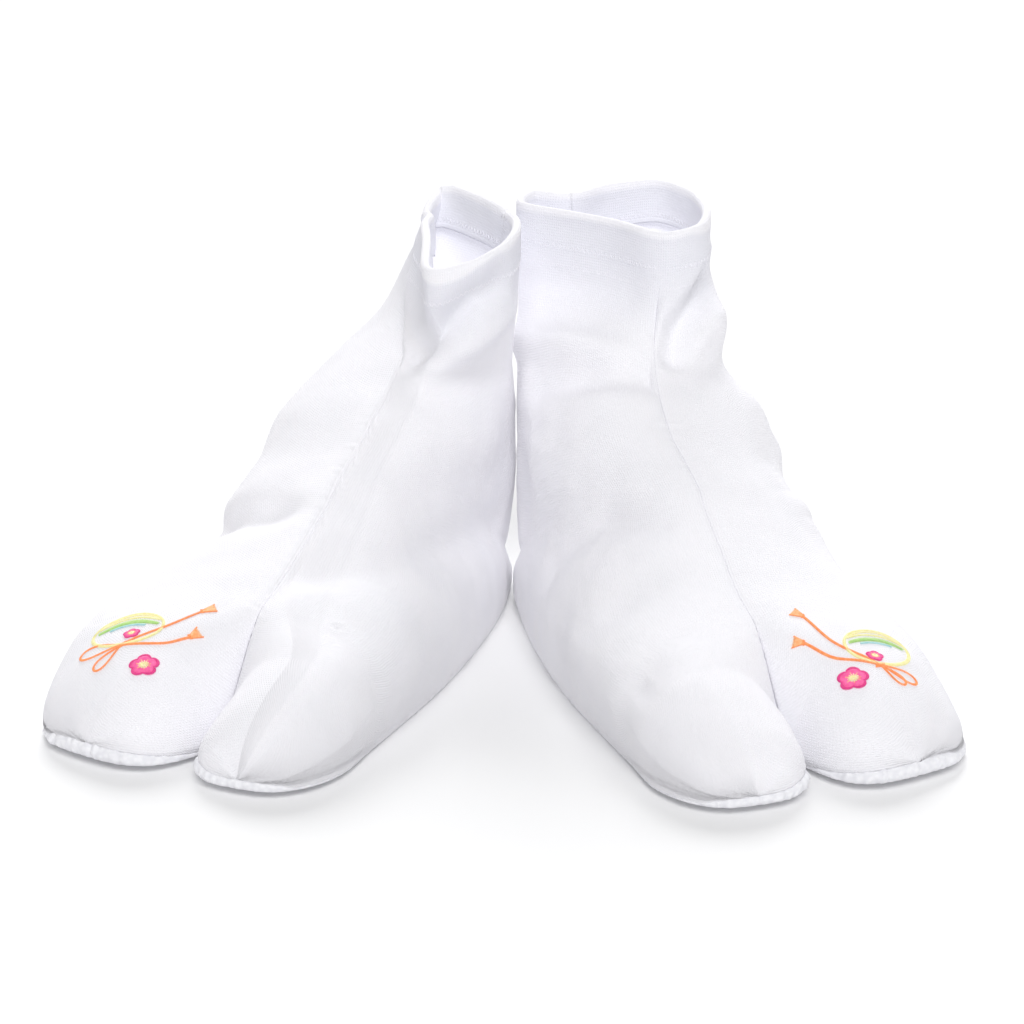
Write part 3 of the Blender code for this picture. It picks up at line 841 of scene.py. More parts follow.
RIGHT = SockSizes(
    name="right_sock", heel=(-34.0, -2.0), splay=23.0, big_toe=1, height=141.0,
    slope_f=-.275, slope_s=.145, fades_at=58.0, corner=0.12, back_corner=6, seed=11,
    lower_row=((0.02, 0.28), (0.02, 0.08)),
    seam_shift=((0, 0), (1, 3), (2, 6), (3, 6), (4, 5), (7, 4), (10, 5), (11, 5), (12, 3.5), (13, 0.5)),
    rim=((-2, 2), (22, 11.5), (42.5, 22.5), (41, 37), (31, 45), (15, 45.5),
         (0, 37), (-18.5, 12), (-22.5, 3), (-19.5, -2)),
    creases=(
        Crease(Side.BIG, ((2.35, .15), (2.04, .18), (1.57, .26), (1.27, .35), (0.9, .44), (0.8, .56)),
               5.5, -5.6, .2, .1),
        Crease(Side.BIG, ((0.8, .05), (1.6, .07), (2.3, .08)), 8, 7.4),
        Crease(Side.BIG, ((2.8, .16), (2.15, .30), (1.7, .46), (1.45, .62)), 7, 4.6),
        Crease(Side.BIG, ((3.5, .12), (2.7, .27), (2.5, .56)), 8, -2.6),
        Crease(Side.BIG, ((4.3, .28), (4.0, .50)), 13, 3.6),
        Crease(Side.BIG, ((9.7, .14), (9.2, .26), (8.5, .38), (7.2, .50), (6.0, .58)), 9, -4.8),
        Crease(Side.BIG, ((10.0, .28), (10.1, .45)), 13, 2.2),
        Crease(Side.BIG, ((10.9, .40), (11.0, .50), (10.9, .62)), 5, -0.8, .4),
        Crease(Side.BIG, ((10.63, .232), (10.58, .250)), 1.0, -0.8, 0, .6),
        Crease(Side.BIG, ((0.2, .76), (2.1, .72)), 13, 1.6),
        Crease(Side.BIG, ((2.9, .71), (3.3, .71)), 7, 1.0),
        Crease(Side.BIG, ((9.5, .76), (12.4, .76)), 10, -1.4),
        Crease(Side.FOUR, ((0.4, .14), (1.2, .16)), 8, 2.4),
        Crease(Side.FOUR, ((1.2, .22), (1.6, .60)), 14, 3.2),
        Crease(Side.FOUR, ((3.2, .12), (6.0, .16), (7.9, .18)), 11, -3.2),
        Crease(Side.FOUR, ((8.2, .16), (8.5, .34), (8.5, .50)), 8, -6.0, .2),
        Crease(Side.FOUR, ((9.0, .35), (9.3, .45)), 12, -4.0),
        Crease(Side.FOUR, ((10.4, .38), (10.9, .42)), 12, 2.5),
        Crease(Side.FOUR, ((2.2, .60), (2.5, .80), (2.3, .95)), 6, -2.6, .2),
        Crease(Side.FOUR, ((3.6, .55), (3.9, .78)), 9, 2.4),
        Crease(Side.FOUR, ((4.6, .60), (4.9, .85)), 6, -2.0),
        Crease(Side.BIG, ((2.2, .78), (2.6, .93)), 6, -2.2),
        Crease(Side.BIG, ((4.5, .82), (4.2, .93)), 6, -1.8),
    ),
    motif=Motif(
        origin=(-114.3, -73.3, 29.6), facing=(-.128, -.337, .933), ball=(-7.4, 19.3, 12.4, 8.0, -8.0),
        blossom=(-5.4, 15.7), knot=(-8.4, 11.1), loops=((-23.3, 13.3), (-17.4, 4.0)),
        tails=(((7.2, 17.7), (17.1, 23.4), (21.7, 24.9)), ((4.4, 8.9), (14.0, 11.9), (17.2, 13.9)))))
LEFT = SockSizes(
    name="left_sock", heel=(36.0, -12.0), splay=19.5, big_toe=-1, height=143.0,
    slope_f=-.12, slope_s=-.03, fades_at=60.0, corner=0.0, back_corner=5, seed=29,
    lower_row=ALL_ROUND,
    seam_shift=((0, 0), (2, 0), (4, -2), (7, -3.5), (9, -1), (10, 1.5), (11, 2), (12, 0), (13, 0)),
    rim=((22, -9.5), (4, 3.5), (-11.5, 17.5), (-24.5, 25.5), (-34.5, 18.5), (-28.5, 6),
         (-33, -10), (-32, -30), (-18, -38), (1.5, -36.5), (19.5, -25.5)),
    creases=(
        Crease(Side.BIG, ((1.45, .62), (1.4, .25)), 8, -3.4),
        Crease(Side.BIG, ((2.3, .65), (2.22, .42), (2.38, .22)), 6.5, 5.6),
        Crease(Side.BIG, ((2.95, .50), (2.78, .27), (2.85, .07)), 7, -4.4, -.2, .1),
        Crease(Side.BIG, ((6.4, .36), (5.0, .48)), 15, 2.2),
        Crease(Side.BIG, ((8.0, .50), (7.4, .34), (8.0, .20)), 8, -4.2),
        Crease(Side.BIG, ((9.6, .42), (9.5, .25)), 8, -4.0),
        Crease(Side.BIG, ((11.1, .46), (11.1, .34)), 8, -3.8),
        Crease(Side.BIG, ((0.2, .72), (2.2, .68)), 13, 3.2),
        Crease(Side.BIG, ((3.6, .60), (5.0, .60)), 12, -3.0),
        Crease(Side.BIG, ((9.5, .76), (12.4, .76)), 10, -1.4),
        Crease(Side.FOUR, ((1.2, .33), (1.6, .21), (1.95, .15), (2.35, .13)), 5, -6.4, 0, .25),
        Crease(Side.FOUR, ((2.05, .24), (2.1, .40)), 10, 5.5),
        Crease(Side.FOUR, ((2.7, .14), (2.7, .30), (2.75, .45)), 8, -4.0),
        Crease(Side.FOUR, ((3.4, .30), (4.3, .42)), 15, 5.2),
        Crease(Side.FOUR, ((4.9, .42), (5.1, .50)), 8, 3.0),
        Crease(Side.FOUR, ((6.3, .42), (6.3, .52)), 11, 3.0),
        Crease(Side.FOUR, ((7.4, .36), (8.2, .40)), 14, 4.2),
        Crease(Side.FOUR, ((11.2, .46), (12.8, .50)), 14, -3.4),
        Crease(Side.FOUR, ((2.4, .58), (2.9, .80), (2.7, .95)), 6, -2.8, -.2),
        Crease(Side.FOUR, ((3.6, .70), (3.7, .90)), 8, 2.2),
        Crease(Side.FOUR, ((4.4, .65), (4.8, .85)), 7, -2.4),
        Crease(Side.BIG, ((2.6, .75), (2.9, .93)), 6, -2.0),
        Crease(Side.BIG, ((4.8, .78), (4.5, .93)), 6, -1.8),
    ),
    motif=Motif(
        origin=(111.3, -86.3, 30.5), facing=(.044, -.404, .914), ball=(9.0, 15.5, 10.8, 8.5, 8.0),
        blossom=(7.6, 10.0), knot=(9.1, 6.3), loops=((21.1, 4.0), (17.0, 1.1)),
        tails=(((-6.0, 15.5), (-14.1, 27.4), (-17.5, 29.5)), ((-4.0, 8.0), (-14.8, 14.7), (-18.3, 15.4)))))

# The cloth, mm
CLOTH, ROLL, ROLL_STEPS = 1.0, 1.6, 13  # wall of the knit; radius and steps of the roll at the rim
RIM_STATION = 0.085  # where the roll starts, so that its top is as high as the rim
HEM_ROWS = 14  # rows that the turned-in hem reaches down, about 13 mm
HEM_PROUD, HEM_DEEP, HEM_STEP = 0.22, 14.0, 2.5  # how far the double cloth stands out; its depth; its edge
HEM_INSIDE = 0.40  # how far the hem's inner rows count as inside the sock, for the knit's painted glow
SEAM_TURNS = 3.5  # how near a seam both panels' walls turn to face the same way
HEM_ROW, LOWER_ROW = Zigzag(11.5, 1.7, 1.9, 0.02), Zigzag(18.5, 1.5, 1.9, -0.06)
INSIDE_ROW = Zigzag(11.8, 1.8, 1.9, -2 * ROLL - 0.08)  # on the hem's inner face

# How a panel is pushed along its normals, mm where nothing else is said
SMOOTHINGS = 70  # of the normals that folds are pressed along
FREE_FRONT, FREE_BACK = 0.09, 0.14  # v from the front seam, and to the other edge, over which they set in
FREE_WIDTH = 40.0  # of a panel that takes its folds whole; a narrower one takes less
TAPER = 0.65  # share of its depth that a fold keeps at its ends
LIPS_AT, LIPS_WIDE = 1.7, 0.7  # where the lips of a fold stand and how wide, in reaches
UNEVEN = ((0.45, 38.0), (0.16, 13.0))  # depth and wave length of the knit's slow waves
HELD = 9.0  # how near a seam these are held flat
PUCKER, PUCKER_PITCH, PUCKER_REACH = 0.30, 4.3, 4.5  # of the cloth beside a seam
STITCHED = 1.5  # how near a seam its stitches hold the puckers down

# The sole, mm
SPLIT_MEETS = 166.0  # f where its outline turns back between the toe pockets
EDGE_ROWS, TIP_ROWS = 220, 130  # points read along a panel's lower edge and round its pocket
SOLE_POINTS, SOLE_ROWS = 1300, 13  # mesh points round it, and up its edge
SOLE_OVERLAP = 0.3  # how far its edge reaches above the panels'
SOLE_SIDE, SOLE_TOE = -0.4, 1.3  # how far it stands out along the sides and in front of the toes
SOLE_ROUND = 0.8  # power of the cosine that rounds its edge
SOLE_PUCKER, SOLE_PITCH, SOLE_HEAVE = 0.35, 4.0, 0.05  # of its edge in front of the toes: out, along and up
PEBBLE, PEBBLE_PITCH = 0.16, 2.3  # of its towelling
FILL_PITCH, FILL_MARGIN = 5.0, 3.0  # between mesh points inside its outline, and from it to the first


@dataclass(frozen=True)
class Panel:
    """A panel's outer face in the shared frame: grids of points, normals and run lengths.

    stations and across number its rows and columns. over is the length across from the
    front seam, and along is the length down from the rim.
    """

    stations: Array
    across: Array
    points: Array
    normals: Array
    over: Array
    along: Array

    def at(self, along: Array, v: Array, lift: float = 0.0) -> tuple[Array, Array]:
        """Read the face between its grid points.

        Args: along: mm below the rim. v: share across. lift: mm off the face.
        Returns: points and normals there, as straight means of the grid's.
        """
        column = np.interp(v, self.across, np.arange(len(self.across)))
        left = np.minimum(column.astype(int), len(self.across) - 2)
        part, ends = (column - left)[:, None], []
        for k in (left, left + 1):
            i = np.clip((self.along[:, k] < along).sum(0) - 1, 0, len(self.along) - 2)
            share = ((along - self.along[i, k]) / (self.along[i + 1, k] - self.along[i, k]))[:, None]
            ends.append([grid[i, k] * (1 - share) + grid[i + 1, k] * share
                         for grid in (self.points, self.normals)])
        points, normals = (a * (1 - part) + b * part for a, b in zip(*ends))
        normals = unit(normals)
        return points + lift * normals, normals


class Sock:
    """One tabi sock: two toe panels with turned-in hems, a sole, stitching and embroidery."""

    def __init__(self, sizes: SockSizes) -> None:
        """Shape both panels, and note which way the cloth faces at their seams.

        Args: sizes: of this sock.
        """
        self.sizes = sizes
        self.panels = {side: self.shape_panel(side) for side in Side}
        beside = (LIP_COLUMNS, -3)  # columns on the crown by the front seam, and just off the back seam
        front, back = (sum(panel.normals[:BODY_ROWS, column] for panel in self.panels.values())
                       for column in beside)
        self.seams_face = unit(front)[:, None], unit(back)[:, None]

    def place(self, vectors: Array, moved: bool = True) -> Array:
        """Turn and move from the sock's frame to the shared one.

        Args: vectors: f, s, z. moved: True for points and False for directions.
        Returns: x, y, z.
        """
        turn, toe = math.radians(self.sizes.splay), self.sizes.big_toe
        axes = np.array([[-toe * math.sin(turn), -math.cos(turn), 0],
                         [toe * math.cos(turn), -math.sin(turn), 0], [0, 0, 1.0]])
        heel = np.array([*self.sizes.heel, 0.0]) - CENTRE
        return vectors @ axes + (heel if moved else 0.0)

    def rim_ring(self, side: Side, plain: Array) -> Array:
        """One panel's part of the rim, from the front seam to the back seam.

        Args: side: which panel. plain: its first row before the rim pushes it.
        Returns: a point for each column, as far along the rim as it is along that row.
        """
        sizes, steps = self.sizes, RIM_STEPS
        ring = closed_curve(np.array(sizes.rim, float), steps)
        back = sizes.back_corner * steps
        half = ring[:back + 1] if side is Side.BIG else np.vstack([ring[back:], ring[:1]])[::-1]
        shares = [run_length(line, 0) / run_length(line, 0)[-1] for line in (plain, half)]
        if side is Side.BIG and sizes.corner:
            shares[0] = np.interp(shares[0], (0, sizes.corner, 1), (0, shares[1][2 * steps], 1))
        f, s = (np.interp(shares[0], shares[1], half[:, i]) for i in (0, 1))
        points = np.stack([f, s, sizes.height + sizes.slope_f * f + sizes.slope_s * s], -1)
        for end, inner in ((0, 1), (-1, -2)):
            points[end] += unit(points[inner] - points[end]) * SEAM_GAP / 2
        return points

    def shape_panel(self, side: Side) -> Panel:
        """Loft a panel, push it out to the rim, press its folds and place it.

        Args: side: which panel.
        Returns: its outer face. The push to the rim fades as a smooth step of the height.
        """
        start, tip = pocket_span(side)
        split = station_at(SPLIT_OPENS)
        stations = np.concatenate([np.linspace(RIM_STATION, split, BODY_ROWS),
                                   np.linspace(split, start, SPLIT_ROWS)[1:],
                                   toward_tip(start, tip, POCKET_ROWS)])
        across = columns_across()
        plain = loft(side, np.zeros(1), across, self.sizes.seam_shift)[0]
        points = loft(side, stations, across, self.sizes.seam_shift)
        low, level = self.sizes.fades_at, points[..., 2].mean(1)[:, None]
        pushed = smooth_step((level - low) / (plain[:, 2].mean() - low))
        points = points + pushed[..., None] * (self.rim_ring(side, plain) - plain)
        points = spring_up(self.press(points, side, stations, across))
        normals = self.normals(points, side)
        return Panel(stations, across, self.place(points), self.place(normals, False),
                     run_length(points, 1), run_length(points, 0))

    def normals(self, points: Array, side: Side) -> Array:
        """Unit normals out of the sock: the cross product of the steps down and across.

        Args: points: a panel's grid. side: which panel.
        Returns: the normals; the pole takes the mean of the row before.
        """
        normal = np.cross(np.gradient(points, axis=0), np.gradient(points, axis=1)) * side.sign
        normal[-1] = normal[-2].mean(0)
        return unit(normal)

    def press(self, points: Array, side: Side, stations: Array, across: Array) -> Array:
        """Push a panel along its normals: folds, seam puckers and the knit's own unevenness.

        Args: points, side, stations, across: its grid.
        Returns: the grid moved by the sum of exp(-(gap / reach)^2) over the folds, with
            seams held where they are sewn.
        """
        normals = unit(soften(self.normals(points, side), SMOOTHINGS))
        free = smooth_step(across / FREE_FRONT) * smooth_step((1 - across) / FREE_BACK)
        push = np.zeros(points.shape[:-1])
        for crease in (c for c in self.sizes.creases if c.side is side):
            rows = np.interp([s for s, _ in crease.path], stations, np.arange(len(stations)))
            columns = np.interp([v for _, v in crease.path], across, np.arange(len(across)))
            corners = points[np.round(rows).astype(int), np.round(columns).astype(int)]
            gap, turned, share = to_path(points, normals, corners)
            reach = crease.reach * (1 + crease.lean * turned)
            taper = TAPER + (1 - TAPER) * np.sin(math.pi * share)
            lips = crease.lips * np.exp(-((gap / reach - LIPS_AT) / LIPS_WIDE) ** 2)
            push += crease.depth * taper * (np.exp(-(gap / reach) ** 2) - lips)
        over, along = run_length(points, 1), run_length(points, 0)
        push *= free * smooth_step(over[:, -1:] / FREE_WIDTH)
        to_edge = np.minimum(over, over[:, -1:] - over)
        held = smooth_step(to_edge / HELD)
        for i, (depth, length) in enumerate(UNEVEN):
            push += depth * waves(points, length, self.sizes.seed + i) * held
        beside = smooth_step(to_edge / STITCHED) * np.exp(-(to_edge / PUCKER_REACH) ** 2)
        push += PUCKER * ripple(along, PUCKER_PITCH, self.sizes.seed + 2) * beside
        push += HEM_PROUD * smooth_step((HEM_DEEP - along) / HEM_STEP) * held
        return points + push[..., None] * normals

    def build_panel(self, side: Side, knit: bpy.types.Material) -> bpy.types.Object:
        """Make a panel with its hem: a closed wall that comes up inside, rolls over the rim and goes down.

        Args: side: which panel. knit: its finish.
        Returns: the piece.
        """
        panel = self.panels[side]
        up = unit(panel.points[0] - panel.points[1])
        turn = np.linspace(math.pi, 0, ROLL_STEPS)[1:-1, None, None]
        hem = slice(HEM_ROWS, 0, -1)
        facing = panel.normals.copy()
        body = slice(0, BODY_ROWS)
        from_back = panel.over[body, -1:] - panel.over[body]
        for seam, gap in zip(self.seams_face, (panel.over[body], from_back)):
            near = (1 - smooth_step(gap / SEAM_TURNS))[..., None]
            facing[body] = unit(facing[body] * (1 - near) + seam * near)

        def skin(inside: float, radius: float, outside: float) -> Array:
            """Rows up the inside, in a half circle over the roll, and down the outside.

            Args: inside, outside: mm in from the outer face. radius: of the half circle.
            Returns: points (rows, columns, 3).
            """
            bend = panel.points[0] - ROLL * facing[0] + radius * (
                np.cos(turn) * facing[0] + np.sin(turn) * up)
            return np.concatenate([panel.points[hem] - inside * facing[hem], bend,
                                   panel.points - outside * facing])

        outer = skin(2 * ROLL, ROLL, 0.0)
        inner = skin(2 * ROLL - CLOTH, ROLL - CLOTH, CLOTH)
        over = np.concatenate([panel.over[hem], np.repeat(panel.over[:1], len(turn), 0), panel.over])
        flat = np.stack([over, run_length(outer, 0)], -1)
        hem_ends = (HEM_ROWS, HEM_ROWS + len(turn))
        # how much of the knit's painted inner glow each row gets: some on the hem's inner rows, none outside
        turned_in = np.interp(np.arange(len(outer)), hem_ends, (HEM_INSIDE, 0.0))
        piece = shell(outer, inner, flat, turned_in).put(f"{self.sizes.name}.{side.value}_toe_knit", knit)
        nodes = [f"{self.sizes.name}.{side.value}_toe_panel"]
        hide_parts(*nodes, *([f"{self.sizes.name}.cuff_hem"] if side is Side.BIG else []))
        return piece

    def outline(self) -> tuple[Array, Array, Array]:
        """The panels' lower edges all round, from the heel over the big toe and back by the four toes.

        Returns: evenly spaced points as f, s, z; the level normals out of the ring; and each
            point's height, 0 as low as along the sides and 1 as high as at the toes' front.
        """
        heel, split = float(HEEL_FOOT), station_at(SPLIT_MEETS)
        lines = []
        for side in Side:
            tip = pocket_span(side)[1]
            rows = np.concatenate([np.linspace(heel, split, EDGE_ROWS), toward_tip(split, tip, TIP_ROWS)])
            edges = spring_up(loft(side, rows, np.array([0.0, 1.0]), self.sizes.seam_shift))
            lines.append((edges[:, 1], edges[rows > split, 0]))
        (big_out, big_in), (four_out, four_in) = lines
        ring = np.vstack([big_out[1:], big_in[-2::-1], four_in[:-1], four_out[:0:-1]])
        ring = np.vstack([ring, ring[:1]])
        run = run_length(ring, 0)
        even = np.linspace(0, run[-1], SOLE_POINTS + 1)[:-1]
        ring = np.stack([np.interp(even, run, ring[:, i]) for i in range(3)], -1)
        ahead = np.roll(ring, -3, axis=0) - np.roll(ring, 3, axis=0)
        out = unit(np.stack([ahead[:, 1], -ahead[:, 0], 0 * ahead[:, 0]], -1))
        if (np.cross(ring[:, :2], np.roll(ring, -1, axis=0)[:, :2])).sum() < 0:
            out = -out
        low = EDGE_Z - SIDE_DROP
        front = (ring[:, 2] - spring_up(ring * (1, 1, 0))[:, 2] - low) / SIDE_DROP
        return ring, out, np.clip(front, 0, 1)

    def build_sole(self, towelling: bpy.types.Material) -> bpy.types.Object:
        """Make the sole: flat sheets above and below, and a rounded edge between them.

        Args: towelling: its finish.
        Returns: the piece. Its edge is a half ellipse that swells
        out in front of the toes, and the pebbles are waves added to it.
        """
        ring, out, front = self.outline()
        run = run_length(ring, 0)
        front = front[:, None]
        swell = ripple(run, SOLE_PITCH, self.sizes.seed + 5)[:, None] * front
        floor = spring_up(ring * (1, 1, 0))[:, 2:]
        height = ring[:, 2:] - floor + SOLE_OVERLAP
        lip = SOLE_SIDE + (SOLE_TOE - SOLE_SIDE) * front + SOLE_PUCKER * swell
        turn = np.linspace(-0.5, 0.5, SOLE_ROWS)[None, :] * math.pi
        bulge = np.cos(turn) ** SOLE_ROUND
        reach = lip - height / 2 * (1 - bulge)
        level = floor + height * (0.5 + 0.5 * np.sin(turn)) * (1 + SOLE_HEAVE * swell)
        band = ring[:, None] * (1, 1, 0) + reach[..., None] * out[:, None] + level[..., None] * (0, 0, 1)
        pebbles = PEBBLE * waves(band * (1, 1, 1.3), PEBBLE_PITCH, self.sizes.seed + 6, 9) * bulge
        band[..., :2] += pebbles[..., None] * out[:, None, :2]
        count, rows = band.shape[:2]
        across = band.transpose(1, 0, 2).reshape(-1, 3)
        parts = [Cloth(across, (grid_faces(rows, count, wrap=True),), across[:, :2])]
        for edge in (band[:, 0], band[:, -1]):
            parts.append(self.fill(edge))
        sole = joined(parts)
        placed = Cloth(self.place(sole.points), sole.faces, sole.flat)
        piece = placed.put(f"{self.sizes.name}.sole_towelling", towelling)
        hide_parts(f"{self.sizes.name}.sole")
        return piece

    def fill(self, edge: Array) -> Cloth:
        """A sheet of triangles inside a ring.

        Args: edge: the ring as f, s, z.
        Returns: the sheet, at every f as high as the ring is there.
        """
        low, high = edge[:, :2].min(0) + FILL_MARGIN, edge[:, :2].max(0)
        f, s = np.meshgrid(*(np.arange(low[i], high[i], FILL_PITCH) for i in (0, 1)))
        spots = [Vector(p) for p in np.vstack([edge[:, :2], np.stack([f.ravel(), s.ravel()], -1)]).tolist()]
        inside = delaunay_2d_cdt(spots, [], [list(range(len(edge)))], 1, 1e-6)
        points, faces = np.array([tuple(p) for p in inside[0]]), np.array(inside[2])
        order = np.argsort(edge[:, 0])
        z = np.interp(points[:, 0], edge[order, 0], edge[order, 2])
        z[:len(edge)] = edge[:, 2]
        return Cloth(np.column_stack([points, z]), (faces,), points)

    def zigzag(self, row: Zigzag, ends: Spans) -> list[Cloth]:
        """A row of zigzag stitches round the cuff: a triangle wave about a level line.

        Args: row: its sizes. ends: where it starts and stops on each panel.
        Returns: one thread for each panel.
        """
        threads = []
        for panel, (first, last) in zip(self.panels.values(), ends):
            total = float(panel.over[HEM_ROWS, -1])
            count = 4 * round(total * (last - first) / row.pitch)
            step = np.arange(count + 1)
            wave = np.array([0.0, 1.0, 0.0, -1.0])[step % 4]
            drift = row.drift * np.sin(step * row.drift_turn + self.sizes.seed)
            over = np.linspace(total * first, total * last, count + 1)
            v = np.interp(over, panel.over[HEM_ROWS], panel.across)
            points, normals = panel.at(row.depth + row.width / 2 * wave + drift, v, row.lift)
            normals = normals * (1 if row.lift > 0 else -1)
            threads.append(strands(points[None], normals[None], row.thread))
        return threads

    def stitch_hem(self, thread: bpy.types.Material) -> bpy.types.Object:
        """Sew the hem: two rows that show outside, and the inner side of the upper one.

        Args: thread: its finish.
        Returns: the piece, all rows in one mesh.
        """
        lower = self.sizes.lower_row
        rows = ((HEM_ROW, ALL_ROUND), (LOWER_ROW, lower), (INSIDE_ROW, ALL_ROUND))
        threads = [one for row, ends in rows for one in self.zigzag(row, ends)]
        return joined(threads).put(f"{self.sizes.name}.hem_stitching", thread, weld=False)


class Embroidery:
    """A toy ball, a tied cord with tassels and a plum blossom in satin stitch."""

    PITCH, THREAD = 0.42, 0.19  # between threads, and their radius, mm
    REACH, FACING = 45.0, 0.15  # which part of the panel it uses: mm from its middle, cosine to its way
    LEAN = 2.0  # mm that a spot moves off its nearest grid point's height at most
    STEP = 0.3  # mm before and after a stitch, between which its path's run is read
    POINTS, ENDS, ARCH = 7, 0.05, 0.7  # of a stitch: points, lift of its ends in mm, power of its arch

    def __init__(self, motif: Motif, panel: Panel) -> None:
        """Keep where it goes: the panel's points that face its way, in the motif's own plane.

        Args: motif: where its parts lie. panel: what it is stitched on.
        """
        self.motif, self.stitches = motif, {dye: [] for dye in Dye}
        self.up = unit(np.array(motif.facing))
        self.right = unit(np.array([1.0, 0, 0]) - self.up[0] * self.up)
        self.back = np.cross(self.up, self.right)
        points, normals = panel.points.reshape(-1, 3), panel.normals.reshape(-1, 3)
        axes = np.stack([self.right, self.back, self.up], 1)
        own, facing = (points - motif.origin) @ axes, normals @ axes
        near = (np.abs(own[:, :2]) < self.REACH).all(1) & (facing[:, 2] > self.FACING)
        self.own, self.facing = own[near], facing[near]

    def land(self, spots: Array) -> tuple[Array, Array]:
        """Bring plane spots onto the panel: onto the tangent plane at the nearest point of its grid.

        Args: spots: (n, 2) in the motif's plane.
        Returns: points and normals in the shared frame.
        """
        nearest = np.concatenate([((part[:, None] - self.own[None, :, :2]) ** 2).sum(-1).argmin(1)
                                  for part in np.array_split(spots, len(spots) // 400 + 1)])
        own, facing = self.own[nearest], self.facing[nearest]
        lean = ((own[:, :2] - spots) * facing[:, :2]).sum(-1) / facing[:, 2]
        height = own[:, 2] + np.clip(lean, -self.LEAN, self.LEAN)
        axes = np.stack([self.right, self.back, self.up])
        return np.array(self.motif.origin) + np.column_stack([spots, height]) @ axes, facing @ axes

    def stitch(self, dye: Dye, starts: Array, ends: Array, rise: float = 0.24) -> None:
        """Add straight stitches that stand `rise` mm proud in their middle."""
        self.stitches[dye].append((starts, ends, np.full(len(starts), rise)))

    def line(self, dye: Dye, path: Array, width: float | Array, slant: float = 0.5) -> None:
        """Satin stitch along a path.

        Args: dye: its thread. path: plane points. width: mm, of all or of each path
            point. slant: how far each stitch leans along the path, as a share of its width.
        """
        run = run_length(path, 0)
        at = np.arange(self.PITCH / 2, run[-1], self.PITCH)
        spots = np.stack([np.interp(at, run, path[:, i]) for i in (0, 1)], -1)
        wide = np.interp(at, run, np.broadcast_to(width, len(path)))[:, None] / 2
        ends = ([np.interp(at + step, run, path[:, i]) for i in (0, 1)] for step in (self.STEP, -self.STEP))
        after, before = (np.stack(end, -1) for end in ends)
        ahead = unit(after - before)
        beside = np.stack([-ahead[:, 1], ahead[:, 0]], -1)
        self.stitch(dye, spots - wide * (beside + slant * ahead), spots + wide * (beside + slant * ahead))

    def bloom(self, centre: tuple[float, float], radius: float, squash: float) -> None:
        """A plum blossom: five round petals, darker at the rim, about a yellow eye.

        The petals reach 0.74 to 1 radius, by the size of a cosine of 2.5 turns.
        Args: centre: in the plane. radius: mm. squash: its height as a share of its width.
        """
        turn = np.linspace(0, 2 * math.pi, round(2 * math.pi * radius / self.PITCH), endpoint=False)
        ray = np.stack([np.cos(turn), squash * np.sin(turn)], -1)
        reach = radius * (0.74 + 0.26 * np.abs(np.cos(2.5 * (turn - 0.3))) ** 0.7)[:, None]
        here = np.array(centre)
        self.stitch(Dye.PINK, here + 0.26 * radius * ray, here + 0.88 * reach * ray, rise=0.36)
        self.stitch(Dye.CRIMSON, here + 0.76 * reach * ray, here + reach * ray, rise=0.32)
        few = ray[::max(1, len(ray) // 12)] * radius
        self.stitch(Dye.CREAM, here + 0.04 * few, here + 0.40 * few, rise=0.46)
        self.stitch(Dye.APRICOT, here + 0.36 * few[::2], here + 0.48 * few[::2], rise=0.5)

    def draw(self) -> None:
        """Lay out the whole motif, the lowest threads first."""
        self.draw_ball()
        self.bloom(self.motif.blossom, radius=3.0, squash=0.75)
        knot = np.array(self.motif.knot)
        for tip in self.motif.loops:
            self.draw_loop(knot, np.array(tip))
        for tail in self.motif.tails:
            self.draw_tail(np.array([knot, *tail], float))
        self.line(Dye.ORANGE, np.array([knot - (1.6, .6), knot + (1.6, .6)]), width=2.0)
        self.bloom((0.0, 0.0), radius=5.2, squash=0.85)

    def draw_ball(self) -> None:
        """The toy ball: an ellipse of yellow, and bands that bow across it as parabolas."""
        x, y, half, wide, tilt = self.motif.ball
        turn = np.linspace(0, 2 * math.pi, 73)
        cos, sin = math.cos(math.radians(tilt)), math.sin(math.radians(tilt))

        def on_ball(along: Array, across: Array) -> Array:
            """Plane points from shares of the ball's half length and half width."""
            return np.stack([x + half * along * cos - wide * across * sin,
                             y + half * along * sin + wide * across * cos], -1)

        top = turn[5:32]
        arc = np.linspace(-0.86, 0.86, 40)
        bow = 0.34 * (1 - (arc / 0.95) ** 2)
        self.line(Dye.YELLOW, on_ball(np.cos(turn), np.sin(turn)), width=1.2 - 0.35 * np.sin(turn))
        self.line(Dye.CREAM, on_ball(0.93 * np.cos(top), 0.88 * np.sin(top)), width=0.7)
        self.line(Dye.GREEN, on_ball(arc, bow + 0.06), width=2.3 * np.sqrt(np.clip(1 - arc ** 2, 0, 1)))
        self.line(Dye.YELLOW, on_ball(arc, bow + 0.34), width=0.8)
        self.line(Dye.BLUE, on_ball(arc[8:-8], bow[8:-8] - 0.16), width=0.8)

    def draw_loop(self, knot: Array, tip: Array) -> None:
        """A loop of the bow: out and back by a half sine, a fifth as wide as it is long.

        Args: knot, tip: its two ends in the plane.
        """
        turn = np.linspace(0, 2 * math.pi, 73)
        out = tip - knot
        beside = np.array([-out[1], out[0]]) * 0.20
        share = np.sin(turn / 2) ** 1.2
        loop = knot + share[:, None] * out + (np.sin(turn) * share ** 0.5)[:, None] * beside
        self.line(Dye.ORANGE, loop, width=0.85)

